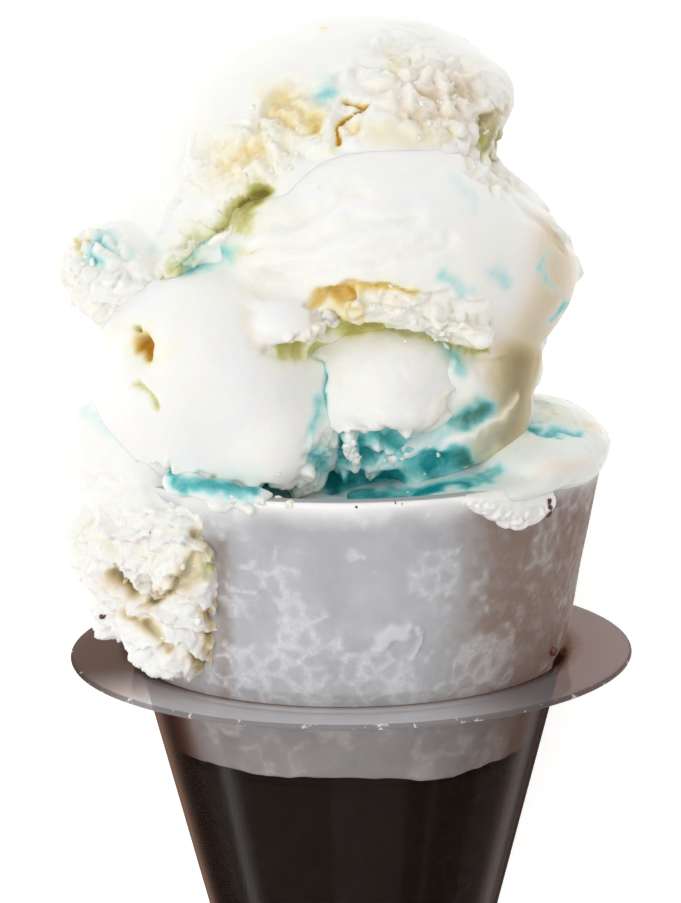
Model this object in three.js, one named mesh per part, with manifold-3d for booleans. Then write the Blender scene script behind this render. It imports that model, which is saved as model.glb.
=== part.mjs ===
// An ice cream cone in a clear plastic holder, lying on its back.
//
// Everything is first modelled upright, in millimetres: +Z runs up the cone's axis, -Y is the side
// that shows, +X is that side's right, and z = 0 is the top of the holder's flange. At the end the
// whole group is laid down: the shown side then faces up and the scoops point along +Y.

import * as THREE from "three";
import { mergeVertices } from "three/addons/utils/BufferGeometryUtils.js";
import Module from "manifold-3d";

const wasm = await Module();
wasm.setup();

// ---- Driving dimensions ----

const GAP = 0.35; // air left between two pieces that touch
const TURN_STEPS = 48; // facets round everything that is turned about the axis

const FLANGE_RADIUS = 44;
const FLANGE_THICKNESS = 1;
const HOLDER_WALL = 0.8;
const HOLDER_MOUTH = 32.7; // inner radius of the straight wall, carried up to z = 0
const TAPER = 0.253; // radius gained for each millimetre of height
const TIP_RADIUS = 7; // the holder's rounded end, inside
const CONE_TIP_RADIUS = 6;
const MOUTH_CURL = 3; // the wall curls out into the flange with this radius
const TIP_STEPS = 4; // facets along the rounded end
const CURL_STEPS = 3;

const RIM_HEIGHT = 31.5;
const RIM_RADIUS = 39.3;
const UPPER_TAPER = 0.185; // the cone opens less steeply above the holder
const RIM_WALL = 3.4;
const RECESS_DEPTH = 7; // the scoops sit this deep in the mouth

const COATING = 0.8;
const COATING_EDGE = -13.6; // mean height of the coating's lower edge
const COATING_WAVE = 0.6; // how far that edge wanders up and down
const WAVE_REACH = 2; // the wandering fades out this far above the edge

// A ring of facets rests on the middle of one facet, a little nearer than its corners.
const FLOOR = FLANGE_RADIUS * Math.cos(Math.PI / TURN_STEPS);
const BEYOND = 400; // side of a block larger than the whole part
const WELD = 1e-4; // points nearer than this are one point

// ---- Directions, solids and cuts ----

const radians = THREE.MathUtils.degToRad;
const degrees = THREE.MathUtils.radToDeg;
const LEAN_AXIS = new THREE.Vector3(0, 1, 0);

// Azimuth 0 looks out of the shown side and 90 is its right; elevation is above the horizon.
function direction(azimuth, elevation) {
  const a = radians(azimuth);
  const e = radians(elevation);
  return new THREE.Vector3(
    Math.sin(a) * Math.cos(e),
    -Math.cos(a) * Math.cos(e),
    Math.sin(e),
  );
}

function toSolid(geometry) {
  geometry.deleteAttribute("normal");
  geometry.deleteAttribute("uv");
  const merged = mergeVertices(geometry, WELD);
  return new wasm.Manifold(
    new wasm.Mesh({
      numProp: 3,
      vertProperties: merged.attributes.position.array,
      triVerts: new Uint32Array(merged.index.array),
    }),
  );
}

function toGeometry(solid) {
  const mesh = solid.getMesh();
  const geometry = new THREE.BufferGeometry();
  const positions = new Float32Array(mesh.vertProperties);
  geometry.setAttribute("position", new THREE.BufferAttribute(positions, 3));
  geometry.setIndex(new THREE.BufferAttribute(new Uint32Array(mesh.triVerts), 1));
  geometry.computeVertexNormals();
  return geometry;
}

// Takes the tools away from a solid and keeps its one large body, without the scraps.
function cut(solid, ...tools) {
  const left = tools.reduce((rest, tool) => rest.subtract(tool), solid);
  return left.decompose().reduce((a, b) => (a.volume() > b.volume() ? a : b));
}

// A profile of [radius, height] pairs turned about the axis, with the middle of a facet at the back.
function turned(profile) {
  const points = profile.map(([r, z]) => new THREE.Vector2(r, z));
  const geometry = new THREE.LatheGeometry(points, TURN_STEPS);
  geometry.rotateX(Math.PI / 2);
  geometry.rotateZ(Math.PI / TURN_STEPS);
  return geometry;
}

// Profile points on an arc about [r, z], both ends included.
function arc(r, z, radius, fromDegrees, toDegrees, steps) {
  return Array.from({ length: steps + 1 }, (_, i) => {
    const a = radians(THREE.MathUtils.lerp(fromDegrees, toDegrees, i / steps));
    return [r + radius * Math.cos(a), z + radius * Math.sin(a)];
  });
}

// ---- Scoops: leaning ellipsoids with bumps, hollows and torn zones ----

const MEAN_CURD = 0.45; // what curds() gives on average
const SWAY = 1.3; // how far, in radians, the rows of curds are pushed out of line
const SWAY_RATE = 0.7; // how fast that push changes, beside the curds themselves

// Rounded curds with creases between them, from 0 to 1, each about `size` across.
function curds(p, size) {
  const k = Math.PI / size;
  const sway = (along, start) => SWAY * Math.sin(SWAY_RATE * k * along + start);
  const u = Math.sin(k * p.x + sway(p.y, 2));
  const v = Math.sin(k * p.y + sway(p.z, 4));
  const w = Math.sin(k * p.z + sway(p.x, 1));
  return Math.sqrt(Math.abs(u * v * w));
}

// 1 in the middle of a zone, fading to nothing about two widths away from it.
function inZone(d, zone) {
  const angle = degrees(d.angleTo(direction(zone.azimuth, zone.elevation)));
  return Math.exp(-((angle / zone.width) ** 2));
}

function lobeRadius(lobe, d) {
  const own = d.clone().applyAxisAngle(LEAN_AXIS, -radians(lobe.lean ?? 0));
  const smooth = 1 / own.divide(new THREE.Vector3(...lobe.radii)).length();
  const bumps = (lobe.bumps ?? []).reduce((sum, b) => sum + b.height * inZone(d, b), 0);
  const torn = (lobe.torn ?? []).reduce((sum, z) => sum + inZone(d, z), lobe.rough ?? 0);
  const place = d.clone().multiplyScalar(smooth).add(new THREE.Vector3(...lobe.centre));
  const relief = lobe.cragDepth ? lobe.cragDepth * (curds(place, lobe.cragSize) - MEAN_CURD) : 0;
  return smooth + bumps + Math.min(1, torn) * relief;
}

function lobeSolid(lobe, grow) {
  const geometry = new THREE.IcosahedronGeometry(1, lobe.detail);
  const position = geometry.attributes.position;
  const centre = new THREE.Vector3(...lobe.centre);
  const d = new THREE.Vector3();
  for (let i = 0; i < position.count; i++) {
    d.fromBufferAttribute(position, i).normalize();
    const p = d.clone().multiplyScalar(lobeRadius(lobe, d) + grow).add(centre);
    position.setXYZ(i, p.x, p.y, p.z);
  }
  return toSolid(geometry);
}

// The lobes of one scoop as one solid; `grow` moves its whole surface outwards.
function joined(lobes, grow = 0) {
  return lobes.map((lobe) => lobeSolid(lobe, grow)).reduce((a, b) => a.add(b));
}

// The top scoop: a smooth dome whose lower front is torn, with a ragged skirt at its left.
const TOP_SCOOP = [
  {
    centre: [-3.2, 3, 71.5],
    radii: [32.6, 29, 26.2],
    lean: -20,
    detail: 7,
    cragDepth: 4,
    cragSize: 8,
    bumps: [
      { azimuth: 0, elevation: 20, width: 20, height: -2.5 },
      { azimuth: -90, elevation: 20, width: 17, height: -2.2 },
      { azimuth: 68, elevation: 5, width: 12, height: -6 },
      { azimuth: 93, elevation: 8, width: 12, height: -8.6 },
      { azimuth: 120, elevation: 6, width: 18, height: -8 },
    ],
    torn: [
      { azimuth: -6, elevation: 20, width: 20 },
      { azimuth: 52, elevation: 28, width: 24 },
      { azimuth: -30, elevation: -5, width: 16 },
    ],
  },
  {
    centre: [-34.6, -3, 59.2],
    radii: [9.6, 13, 7.8],
    lean: 24,
    detail: 3,
    rough: 1,
    cragDepth: 2.5,
    cragSize: 7,
  },
];

// The middle scoop: a lobe with a ragged ledge at its front, one that runs down the right side to
// the rim, a large lobe at the lower left with its corner on the rim, and a nub between them.
const MIDDLE_SCOOP = [
  {
    centre: [8.5, -8, 63],
    radii: [27, 26.5, 19.5],
    lean: 13,
    detail: 7,
    cragDepth: 3,
    cragSize: 7,
    bumps: [
      { azimuth: -88, elevation: 12, width: 14, height: 3 },
      { azimuth: 88, elevation: 40, width: 20, height: -7 },
      { azimuth: 88, elevation: -28, width: 14, height: -3.5 },
      { azimuth: 4, elevation: -30, width: 15, height: -3 },
    ],
    torn: [{ azimuth: 4, elevation: -16, width: 18 }],
  },
  { centre: [-6, -19, 67], radii: [13.5, 11, 8], detail: 2 },
  { centre: [15, -9, 49], radii: [14.6, 21, 16], detail: 3 },
  { centre: [18, -21, 40.5], radii: [8.5, 10, 9], detail: 2 },
  {
    centre: [-18.5, -14.5, 45.5],
    radii: [19.5, 22.5, 19],
    detail: 6,
    cragDepth: 2.5,
    cragSize: 7,
    torn: [{ azimuth: 70, elevation: -30, width: 18 }],
    bumps: [{ azimuth: -32, elevation: 18, width: 7, height: -2 }],
  },
  {
    centre: [-12.5, -20, 39.5],
    radii: [13, 16.5, 11.5],
    detail: 3,
    rough: 0.5,
    cragDepth: 2,
    cragSize: 6,
  },
  { centre: [-9, -25, 55.5], radii: [8, 10.5, 5], detail: 2 },
];

// The bottom scoop bulges at the front, is squashed flat where it lies and is packed into the mouth.
const BOTTOM_SCOOP = [
  {
    centre: [-1, 6, 43],
    radii: [29.5, 37, 19],
    detail: 6,
    rough: 0.4,
    cragDepth: 3,
    cragSize: 8,
    bumps: [{ azimuth: 180, elevation: 0, width: 35, height: 3.5 }],
  },
  {
    centre: [6, -18.5, 46],
    radii: [12.5, 16, 8.6],
    detail: 3,
    rough: 0.4,
    cragDepth: 1.5,
    cragSize: 6,
  },
  {
    centre: [0, 0, 26.5],
    radii: [35.2, 35.2, 5],
    detail: 4,
    rough: 0.5,
    cragDepth: 1,
    cragSize: 8,
  },
];

// The spill hangs over the rim at the left, in four craggy lumps.
const SPILL = [
  { centre: [-32.6, -8, 45], radii: [6.6, 12, 6.3], detail: 3 },
  { centre: [-32.3, -13, 33.2], radii: [11.2, 14, 10.8], detail: 4 },
  { centre: [-29.2, -18.5, 22.5], radii: [12.6, 12, 12.5], detail: 4 },
  { centre: [-26.3, -23, 10.8], radii: [9, 8.5, 9.2], detail: 4 },
].map((lump) => ({ ...lump, rough: 1, cragDepth: 3, cragSize: 6.5 }));

// Melted ice cream fills the right of the mouth, runs over the rim and has set as a drip in front.
const MELT = [
  { centre: [27.5, -8, 33.4], radii: [11.8, 21, 6.8], detail: 4 },
  { centre: [14, -20, 29.7], radii: [20, 15, 3.4], lean: -6, detail: 2 },
  { centre: [24.6, -30, 29], radii: [5.6, 4.4, 4], detail: 1 },
];

// ---- Cone, coating and holder ----

const SHOULDER = 1.5; // the cone widens between this far below the flange and this far above it

const slope = degrees(Math.atan(TAPER));
const holderInner = (z) => HOLDER_MOUTH + TAPER * z;
const aboveHolder = (z) => RIM_RADIUS + UPPER_TAPER * (z - RIM_HEIGHT);
const coatingRadius = (z) => (z < 0 ? holderInner(z) - GAP : aboveHolder(z));

// The rounded end of a straight wall of radius `mouth` at z = 0, from the axis outwards.
function roundedTip(mouth, radius) {
  const centre = -mouth / TAPER + radius / Math.sin(radians(slope));
  const points = arc(0, centre, radius, -90, -slope, TIP_STEPS);
  points[0][0] = 0;
  return points;
}

// The cone's solid outline from its tip to its rim and across the recess, moved outwards by `grow`.
function coneProfile(grow) {
  const inset = COATING + GAP - grow;
  const rimTop = RIM_HEIGHT - inset;
  const mouth = RIM_RADIUS - RIM_WALL + inset;
  const floor = RIM_HEIGHT - RECESS_DEPTH + grow;
  return [
    ...roundedTip(HOLDER_MOUTH - GAP - inset, CONE_TIP_RADIUS),
    [coatingRadius(-SHOULDER) - inset, -SHOULDER],
    [coatingRadius(SHOULDER) - inset, SHOULDER],
    [RIM_RADIUS - inset, rimTop],
    [mouth, rimTop],
    [mouth, floor],
    [0, floor],
  ];
}

// The coating's lower edge wanders: everything near that edge slides along the cone's side.
function wander(geometry) {
  const position = geometry.attributes.position;
  for (let i = 0; i < position.count; i++) {
    const [x, y, z] = [position.getX(i), position.getY(i), position.getZ(i)];
    const turn = Math.atan2(y, x);
    const nearEdge = THREE.MathUtils.clamp((COATING_EDGE - z) / WAVE_REACH + 1, 0, 1);
    const slide = nearEdge * COATING_WAVE * (Math.sin(3 * turn + 1) + 0.5 * Math.sin(7 * turn));
    const scale = 1 + (TAPER * slide) / Math.hypot(x, y);
    position.setXYZ(i, x * scale, y * scale, z + slide);
  }
  return geometry;
}

// A skin of even thickness from the dipped edge up the side, over the rim and a little way in.
function makeCoating() {
  const side = [COATING_EDGE, -SHOULDER, SHOULDER].map((z) => [coatingRadius(z), z]);
  const lip = RIM_RADIUS - RIM_WALL;
  const innerEdge = RIM_HEIGHT - 3 * COATING;
  const overRim = [
    [RIM_RADIUS, RIM_HEIGHT - COATING],
    [RIM_RADIUS - COATING, RIM_HEIGHT],
    [lip + COATING, RIM_HEIGHT],
    [lip, RIM_HEIGHT - COATING],
    [lip, innerEdge],
  ];
  const underRim = [
    [lip + COATING, innerEdge],
    [lip + COATING, RIM_HEIGHT - COATING],
    [RIM_RADIUS - COATING, RIM_HEIGHT - COATING],
  ];
  const inside = side.map(([r, z]) => [r - COATING, z]).reverse();
  return toSolid(wander(turned([...side, ...overRim, ...underRim, ...inside, side[0]])));
}

// Where a straight wall curls out, under or over the flange, to a surface at `height`.
function curlOut(mouth, radius, height) {
  const z = height - radius;
  const r = mouth + TAPER * z + radius * Math.hypot(1, TAPER);
  return arc(r, z, radius, 180 - slope, 90, CURL_STEPS);
}

// A thin conical cup with a rounded end, curling out into a flat round flange.
function makeHolder() {
  const outerMouth = HOLDER_MOUTH + HOLDER_WALL * Math.hypot(1, TAPER);
  const inside = [...roundedTip(HOLDER_MOUTH, TIP_RADIUS), ...curlOut(HOLDER_MOUTH, MOUTH_CURL, 0)];
  const outside = [
    ...roundedTip(outerMouth, TIP_RADIUS + HOLDER_WALL),
    ...curlOut(outerMouth, MOUTH_CURL - FLANGE_THICKNESS, -FLANGE_THICKNESS),
  ];
  const edge = [
    [FLANGE_RADIUS, -FLANGE_THICKNESS],
    [FLANGE_RADIUS, 0],
  ];
  return toSolid(turned([...outside, ...edge, ...inside.reverse()]));
}

// ---- Fitting the pieces to each other ----

// Everything beyond the plane that the laid-down cone rests on.
function belowFloor() {
  const block = new THREE.BoxGeometry(BEYOND, BEYOND, BEYOND);
  block.translate(0, FLOOR + BEYOND / 2, 0);
  return toSolid(block);
}

const cone = toSolid(turned(coneProfile(0)));
const coneTool = toSolid(turned(coneProfile(COATING + 2 * GAP)));
const topTool = joined(TOP_SCOOP, GAP);
const middleTool = joined(MIDDLE_SCOOP, GAP);
const bottomTool = joined(BOTTOM_SCOOP, GAP);

const upright = new THREE.Group();
function place(name, solid, color, roughness, opacity = 1) {
  const look = new THREE.MeshStandardMaterial({ color, roughness, metalness: 0 });
  look.opacity = opacity;
  look.transparent = opacity < 1;
  const mesh = new THREE.Mesh(toGeometry(solid), look);
  mesh.name = name;
  upright.add(mesh);
}

const ICE_CREAM = 0xf6f1e6;
place("holder", makeHolder(), 0xb9aeb0, 0.15, 0.45);
place("cone", cone, 0x2a1f1c, 0.6);
place("coating", makeCoating(), 0xbdbfc4, 0.5);
place("scoop_top", joined(TOP_SCOOP), ICE_CREAM, 0.5);
place("scoop_middle", cut(joined(MIDDLE_SCOOP), topTool, coneTool), ICE_CREAM, 0.5);
place(
  "scoop_bottom",
  cut(joined(BOTTOM_SCOOP), topTool, middleTool, coneTool, belowFloor()),
  ICE_CREAM,
  0.5,
);
place("spill", cut(joined(SPILL), topTool, middleTool, bottomTool, coneTool), ICE_CREAM, 0.5);
place("melt", cut(joined(MELT), middleTool, bottomTool, coneTool), ICE_CREAM, 0.4);

// ---- Laying it down, with the origin under the middle of its bounding box ----

const laid = new THREE.Group();
laid.rotation.x = -Math.PI / 2;
laid.add(upright);
const box = new THREE.Box3().setFromObject(laid, true);
const middleOfBox = box.getCenter(new THREE.Vector3());
laid.position.set(-middleOfBox.x, -middleOfBox.y, FLOOR);

const part = new THREE.Group();
part.add(laid);

export default part;
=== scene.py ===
# %% [markdown]
# # An ice cream cone, lying on its back
#
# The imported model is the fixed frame: its solids say where every piece is and how big it is. This
# lesson dresses that frame. The scoops become soft, torn and streaked ice cream, the cone gets its
# dipped coating, and the holder becomes thin clear plastic. Everything is worked out in the
# cone's own upright millimetres and then laid down, because a cone is easier to think about
# standing up.

# %% Load the frame
import math

import bmesh
import bpy
import numpy as np
from mathutils import Matrix, Vector


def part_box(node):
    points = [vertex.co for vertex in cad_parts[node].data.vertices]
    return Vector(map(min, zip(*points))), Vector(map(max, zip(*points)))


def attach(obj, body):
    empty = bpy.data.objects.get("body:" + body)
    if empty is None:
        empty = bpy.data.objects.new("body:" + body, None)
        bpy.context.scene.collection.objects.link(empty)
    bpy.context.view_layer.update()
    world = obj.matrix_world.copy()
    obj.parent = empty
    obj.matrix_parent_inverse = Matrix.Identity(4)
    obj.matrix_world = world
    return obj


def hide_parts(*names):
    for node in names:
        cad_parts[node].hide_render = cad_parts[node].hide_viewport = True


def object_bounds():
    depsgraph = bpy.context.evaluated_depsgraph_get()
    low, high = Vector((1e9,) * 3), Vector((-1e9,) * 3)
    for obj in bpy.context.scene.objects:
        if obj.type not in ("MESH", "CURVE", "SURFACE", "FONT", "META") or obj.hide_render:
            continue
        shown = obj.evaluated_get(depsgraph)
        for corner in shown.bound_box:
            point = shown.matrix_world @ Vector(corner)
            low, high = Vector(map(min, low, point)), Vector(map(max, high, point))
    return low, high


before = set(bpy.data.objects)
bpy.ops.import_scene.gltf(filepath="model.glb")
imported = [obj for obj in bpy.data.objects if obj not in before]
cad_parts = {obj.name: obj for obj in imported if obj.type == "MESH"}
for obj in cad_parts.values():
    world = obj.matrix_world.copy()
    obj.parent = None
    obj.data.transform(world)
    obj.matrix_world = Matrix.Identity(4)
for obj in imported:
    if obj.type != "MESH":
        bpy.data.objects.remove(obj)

cad_bounds = [list(corner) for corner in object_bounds()]
print("solids:", sorted(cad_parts))

# %% [markdown]
# ## Two sets of coordinates
#
# Upright, +Z runs up the cone's axis, -Y is the side that shows, and zero is the top of the
# flange. Laid down, that same axis runs along +Y and the shown side faces up. The holder is
# round, so its box gives the axis and the flange's height: nothing else has to be measured.

# %% Upright millimetres to frame metres
MM = 0.001
holder_low, holder_high = (np.array(corner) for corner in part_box("holder"))
AXIS_X = (holder_low[0] + holder_high[0]) / 2
AXIS_Z = (holder_low[2] + holder_high[2]) / 2
FLANGE_Y = holder_high[1]


def laid(upright):
    """Points in upright millimetres, laid down, in metres."""
    x, y, z = np.asarray(upright, float).T
    return np.stack([AXIS_X + x * MM, FLANGE_Y + z * MM, AXIS_Z - y * MM], 1)


print("axis at x =", round(AXIS_X, 5), "z =", round(AXIS_Z, 5), "flange at y =", round(FLANGE_Y, 5))

# %% [markdown]
# ## The camera
#
# The eye is a little above the rim and far away, so the rim and the flange show as narrow
# ellipses. A long lens keeps the scoops from looking swollen. The camera is made first because
# some places on the ice cream are named by where they appear to the eye.

# %% Place the camera
EYE = np.array([-1.28, -470.7, 127.9])  # upright millimetres
PITCH = math.radians(11.64)
ROLL = math.radians(0.7)
LENS = 123.7

camera_data = bpy.data.cameras.new("eye")
camera_data.lens = LENS
camera_data.clip_start = 0.01
camera = bpy.data.objects.new("eye", camera_data)
bpy.context.scene.collection.objects.link(camera)
right = Vector((1, 0, 0))
up = Vector((0, math.cos(PITCH), -math.sin(PITCH)))
back = Vector((0, math.sin(PITCH), math.cos(PITCH)))
turn = Matrix((right, up, back)).transposed().to_4x4()
camera.matrix_world = Matrix.Translation(laid([EYE])[0]) @ turn @ Matrix.Rotation(-ROLL, 4, "Z")
bpy.context.scene.camera = camera
print("camera at", [round(v, 4) for v in camera.location])

# %% [markdown]
# ## Noise to shape with
#
# Ice cream is never even. Two kinds of noise make nearly all of its surface: a soft wobble for
# melted skin, and cells, whose creases are where torn curds part. Both are plain numpy, so a
# hundred thousand points take a moment, and both give the same numbers on every run.

# %% Soft noise
def scatter_value(ix, iy, iz, seed):
    """A fixed random number from 0 to 1 for each whole-numbered place."""
    n = ix * 73856093 ^ iy * 19349663 ^ iz * 83492791 ^ (seed * 2654435761 + 97)
    n = (n ^ (n >> 13)) & 0x7FFFFFFF
    n = (n * 1274126177) & 0x7FFFFFFF
    n = (n ^ (n >> 15)) * 668265263 & 0x7FFFFFFF
    return n / 0x7FFFFFFF


def wobble(points, size, seed=0):
    """Soft noise from -1 to 1 whose swells are about `size` across."""
    q = points / size + seed * 7.31
    cell = np.floor(q).astype(np.int64)
    f = q - cell
    f = f * f * f * (f * (f * 6 - 15) + 10)
    total = 0
    for dx in (0, 1):
        for dy in (0, 1):
            for dz in (0, 1):
                weight = (
                    (f[:, 0] if dx else 1 - f[:, 0])
                    * (f[:, 1] if dy else 1 - f[:, 1])
                    * (f[:, 2] if dz else 1 - f[:, 2])
                )
                total = total + weight * scatter_value(
                    cell[:, 0] + dx, cell[:, 1] + dy, cell[:, 2] + dz, seed
                )
    return total * 2 - 1


def drift(points, size, amount, seed=0):
    """The points, each pushed about by up to `amount`, so that straight things turn ragged."""
    push = [wobble(points, size, seed + k) for k in (11, 12, 13)]
    return points + amount * np.stack(push, 1)


# %% Curds with creases between them
def curds(points, size, seed=0):
    """Lumps about `size` across, from 0 in the creases to 1 on the tallest tops."""
    q = points / size
    home = np.floor(q).astype(np.int64)
    nearest = np.full(len(q), 9.0)
    second = np.full(len(q), 9.0)
    tall = np.zeros(len(q))
    for dx in (-1, 0, 1):
        for dy in (-1, 0, 1):
            for dz in (-1, 0, 1):
                ix, iy, iz = home[:, 0] + dx, home[:, 1] + dy, home[:, 2] + dz
                spot = np.stack([scatter_value(ix, iy, iz, seed + k) for k in (1, 2, 3)], 1)
                away = np.linalg.norm(q - spot - np.stack([ix, iy, iz], 1), axis=1)
                closer = away < nearest
                second = np.where(closer, nearest, np.minimum(second, away))
                tall = np.where(closer, scatter_value(ix, iy, iz, seed + 4), tall)
                nearest = np.where(closer, away, nearest)
    return np.clip((second - nearest) * 2.4, 0, 1) ** 0.7 * (0.5 + 0.5 * tall)


# %% [markdown]
# ## Scoops from lobes
#
# A scoop is a few leaning ellipsoids pushed together. Metaballs could join them, but they give no
# say over where the joint stays sharp. So each lobe is a fine sphere pulled to shape, the lobes
# are joined by a voxel remesh, which makes one closed skin, and the skin is then softened.

# %% Directions and zones
def falloff(distance, width):
    """1 at no distance, fading smoothly to nothing about two widths away."""
    return np.exp(-((distance / width) ** 2))


def direction(azimuth, elevation):
    """Azimuth 0 looks out of the shown side and 90 is its right; elevation is above the horizon."""
    a, e = math.radians(azimuth), math.radians(elevation)
    return np.array([math.sin(a) * math.cos(e), -math.cos(a) * math.cos(e), math.sin(e)])


def zone(directions, azimuth, elevation, width):
    """How far each direction is inside a zone `width` degrees wide."""
    along = np.clip(directions @ direction(azimuth, elevation), -1, 1)
    return falloff(np.degrees(np.arccos(along)), width)


# %% One lobe
def lobe(centre, radii, lean=0, bumps=()):
    """A leaning ellipsoid as points and faces; a bump is (azimuth, elevation, width, height)."""
    ball = bmesh.new()
    bmesh.ops.create_icosphere(ball, subdivisions=6, radius=1)
    d = np.array([v.co[:] for v in ball.verts])
    d /= np.linalg.norm(d, axis=1)[:, None]
    faces = np.array([[v.index for v in f.verts] for f in ball.faces])
    ball.free()
    c, s = math.cos(math.radians(lean)), math.sin(math.radians(lean))
    own = np.stack([c * d[:, 0] - s * d[:, 2], d[:, 1], s * d[:, 0] + c * d[:, 2]], 1)
    reach = 1 / np.linalg.norm(own / np.array(radii), axis=1)
    for azimuth, elevation, width, height in bumps:
        reach = reach + height * zone(d, azimuth, elevation, width)
    return np.array(centre) + d * reach[:, None], faces


# %% Many lobes, one skin
def new_object(name, points, faces):
    """A mesh object in the scene, from points in metres."""
    mesh = bpy.data.meshes.new(name)
    mesh.from_pydata(points.tolist(), [], faces.tolist())
    piece = bpy.data.objects.new(name, mesh)
    bpy.context.scene.collection.objects.link(piece)
    return piece


def remeshed(name, lobes, voxel):
    """One closed skin round all the lobes, made of squares about `voxel` millimetres wide."""
    points, faces, count = [], [], 0
    for lobe_points, lobe_faces in lobes:
        points.append(lobe_points)
        faces.append(lobe_faces + count)
        count += len(lobe_points)
    piece = new_object(name, laid(np.concatenate(points)), np.concatenate(faces))
    modifier = piece.modifiers.new("one skin", "REMESH")
    modifier.mode = "VOXEL"
    modifier.voxel_size = voxel * MM
    evaluated = piece.evaluated_get(bpy.context.evaluated_depsgraph_get())
    skin = bpy.data.meshes.new_from_object(evaluated)
    piece.modifiers.clear()
    piece.data = skin
    skin.shade_smooth()
    return piece


# %% Read and write a piece in upright millimetres
def read(piece):
    """The points of a piece, stood upright."""
    flat = np.empty(len(piece.data.vertices) * 3)
    piece.data.vertices.foreach_get("co", flat)
    x, y, z = flat.reshape(-1, 3).T
    return np.stack([(x - AXIS_X) / MM, (AXIS_Z - z) / MM, (y - FLANGE_Y) / MM], 1)


def write(piece, upright):
    """Puts the points back, none of them outside the frame's own box."""
    kept_in = np.clip(laid(upright), cad_bounds[0], cad_bounds[1])
    piece.data.vertices.foreach_set("co", kept_in.ravel())
    piece.data.update()


def normals(piece):
    """Which way each point faces, stood upright."""
    flat = np.empty(len(piece.data.vertices) * 3)
    piece.data.vertices.foreach_get("normal", flat)
    x, y, z = flat.reshape(-1, 3).T
    return np.stack([x, -z, y], 1)


# %% Soften a skin
def soften(piece, passes, share=1.0):
    """Moves each point towards the middle of its neighbours, `share` of the way."""
    mesh = piece.data
    ends = np.empty(len(mesh.edges) * 2, dtype=np.int64)
    mesh.edges.foreach_get("vertices", ends)
    a, b = ends.reshape(-1, 2).T
    points = read(piece)
    count = np.bincount(a, minlength=len(points)) + np.bincount(b, minlength=len(points))
    for _ in range(passes):
        around = np.stack(
            [
                np.bincount(a, points[b, k], len(points)) + np.bincount(b, points[a, k], len(points))
                for k in range(3)
            ],
            1,
        )
        points = points + (around / count[:, None] - points) * np.reshape(share, (-1, 1)) * 0.5
    write(piece, points)


# %% [markdown]
# ## Naming places by how they look
#
# A streak is easy to point at and hard to measure in the round. So a place on the ice cream is
# given on a flat sheet that stands 25 mm in front of the axis: the spot where a line from the eye
# to the place goes through the sheet. The first number is across and the second is up. A UV map
# could name places too, but each scoop would need its own, and they wouldn't meet at the joints.

# %% The sheet in front of the scoops
SHEET_Y = -25.0


def on_sheet(points):
    """Where points appear on the sheet, as (across, up)."""
    t = (SHEET_Y - EYE[1]) / (points[:, 1] - EYE[1])
    return np.stack(
        [
            EYE[0] + (points[:, 0] - EYE[0]) * t,
            EYE[2] + (points[:, 2] - EYE[2]) * t,
        ],
        1,
    )


def behind(spot, y):
    """The upright point at depth y that appears at a spot on the sheet."""
    t = (y - EYE[1]) / (SHEET_Y - EYE[1])
    return (EYE[0] + (spot[0] - EYE[0]) * t, y, EYE[2] + (spot[1] - EYE[2]) * t)


def towards_eye(points, normal):
    """1 where the surface looks at the eye, 0 where it turns away."""
    view = EYE - points
    view /= np.linalg.norm(view, axis=1)[:, None]
    return np.clip((normal * view).sum(1) * 3 + 0.3, 0, 1)


def away_from(spots, line):
    """How far each spot is from a line of points, and on which side of it: +1 is above or left."""
    best = np.full(len(spots), 1e9)
    side = np.zeros(len(spots))
    line = np.array(line, float)
    if len(line) == 1:
        return np.linalg.norm(spots - line[0], axis=1), side
    for a, b in zip(line[:-1], line[1:]):
        run = b - a
        t = np.clip((spots - a) @ run / (run @ run), 0, 1)
        gap = spots - a - t[:, None] * run
        distance = np.hypot(gap[:, 0], gap[:, 1])
        closer = distance < best
        best = np.where(closer, distance, best)
        side = np.where(closer, np.sign(run[0] * gap[:, 1] - run[1] * gap[:, 0]), side)
    return best, side


def trimmed(piece, line):
    """Breaks off nearly all that stands out to the right of a line of spots, given top first."""
    points = read(piece)
    spots = on_sheet(drift(points, 2.5, 0.5, 58))
    across, up = np.array(line)[::-1].T
    over = np.maximum(spots[:, 0] - np.interp(spots[:, 1], up, across), 0)
    inside = (spots[:, 1] > up[0]) & (spots[:, 1] < up[-1])
    points[:, 0] -= over * inside * (points[:, 1] - EYE[1]) / (SHEET_Y - EYE[1]) * 0.97
    write(piece, points)


def touch(spots, line, width):
    """1 on a line and inside its width, fading out over half as much again."""
    distance, _ = away_from(spots, line)
    return np.clip((width * 1.5 - distance) / (width * 0.75), 0, 1)


# %% [markdown]
# ## Tearing, creasing and streaking
#
# Hard ice cream tears as it is scooped: curds of every size, the small ones on the big ones.
# Melted ice cream does the opposite and runs smooth. One function, `work_over`, gives a piece both: it
# pushes each point out or in along its normal, and it stores how torn the place is, how much of each syrup
# it holds and how much painted shade it gets, so that the finish can follow the form. A displacement texture
# could do the pushing too, but it can't pass on what it did to the finish.

# %% Surface heights
TWIST = np.array([[0.36, 0.48, -0.8], [-0.8, 0.6, 0.0], [0.48, 0.64, 0.6]])  # a plain rotation


def torn_height(points, size):
    """Lumps on lumps, in millimetres: rounded and creased when big, crisp when small."""
    place = drift(points, size * 0.8, size * 0.3, 21)
    height = size * 0.2 * (curds(place, size, 31) - 0.5)
    reach, width = size * 0.3, size * 0.62
    for octave in range(4):
        place = place @ TWIST
        swell = np.abs(wobble(place, width, 32 + octave))
        lumpy, crisp = swell * 1.6 - 0.5, 0.5 - swell * 1.6
        share = min(1, octave / 2)
        height = height + reach * (lumpy * (1 - share) + crisp * share)
        reach, width = reach * 0.52, width * 0.5
    return height


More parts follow.
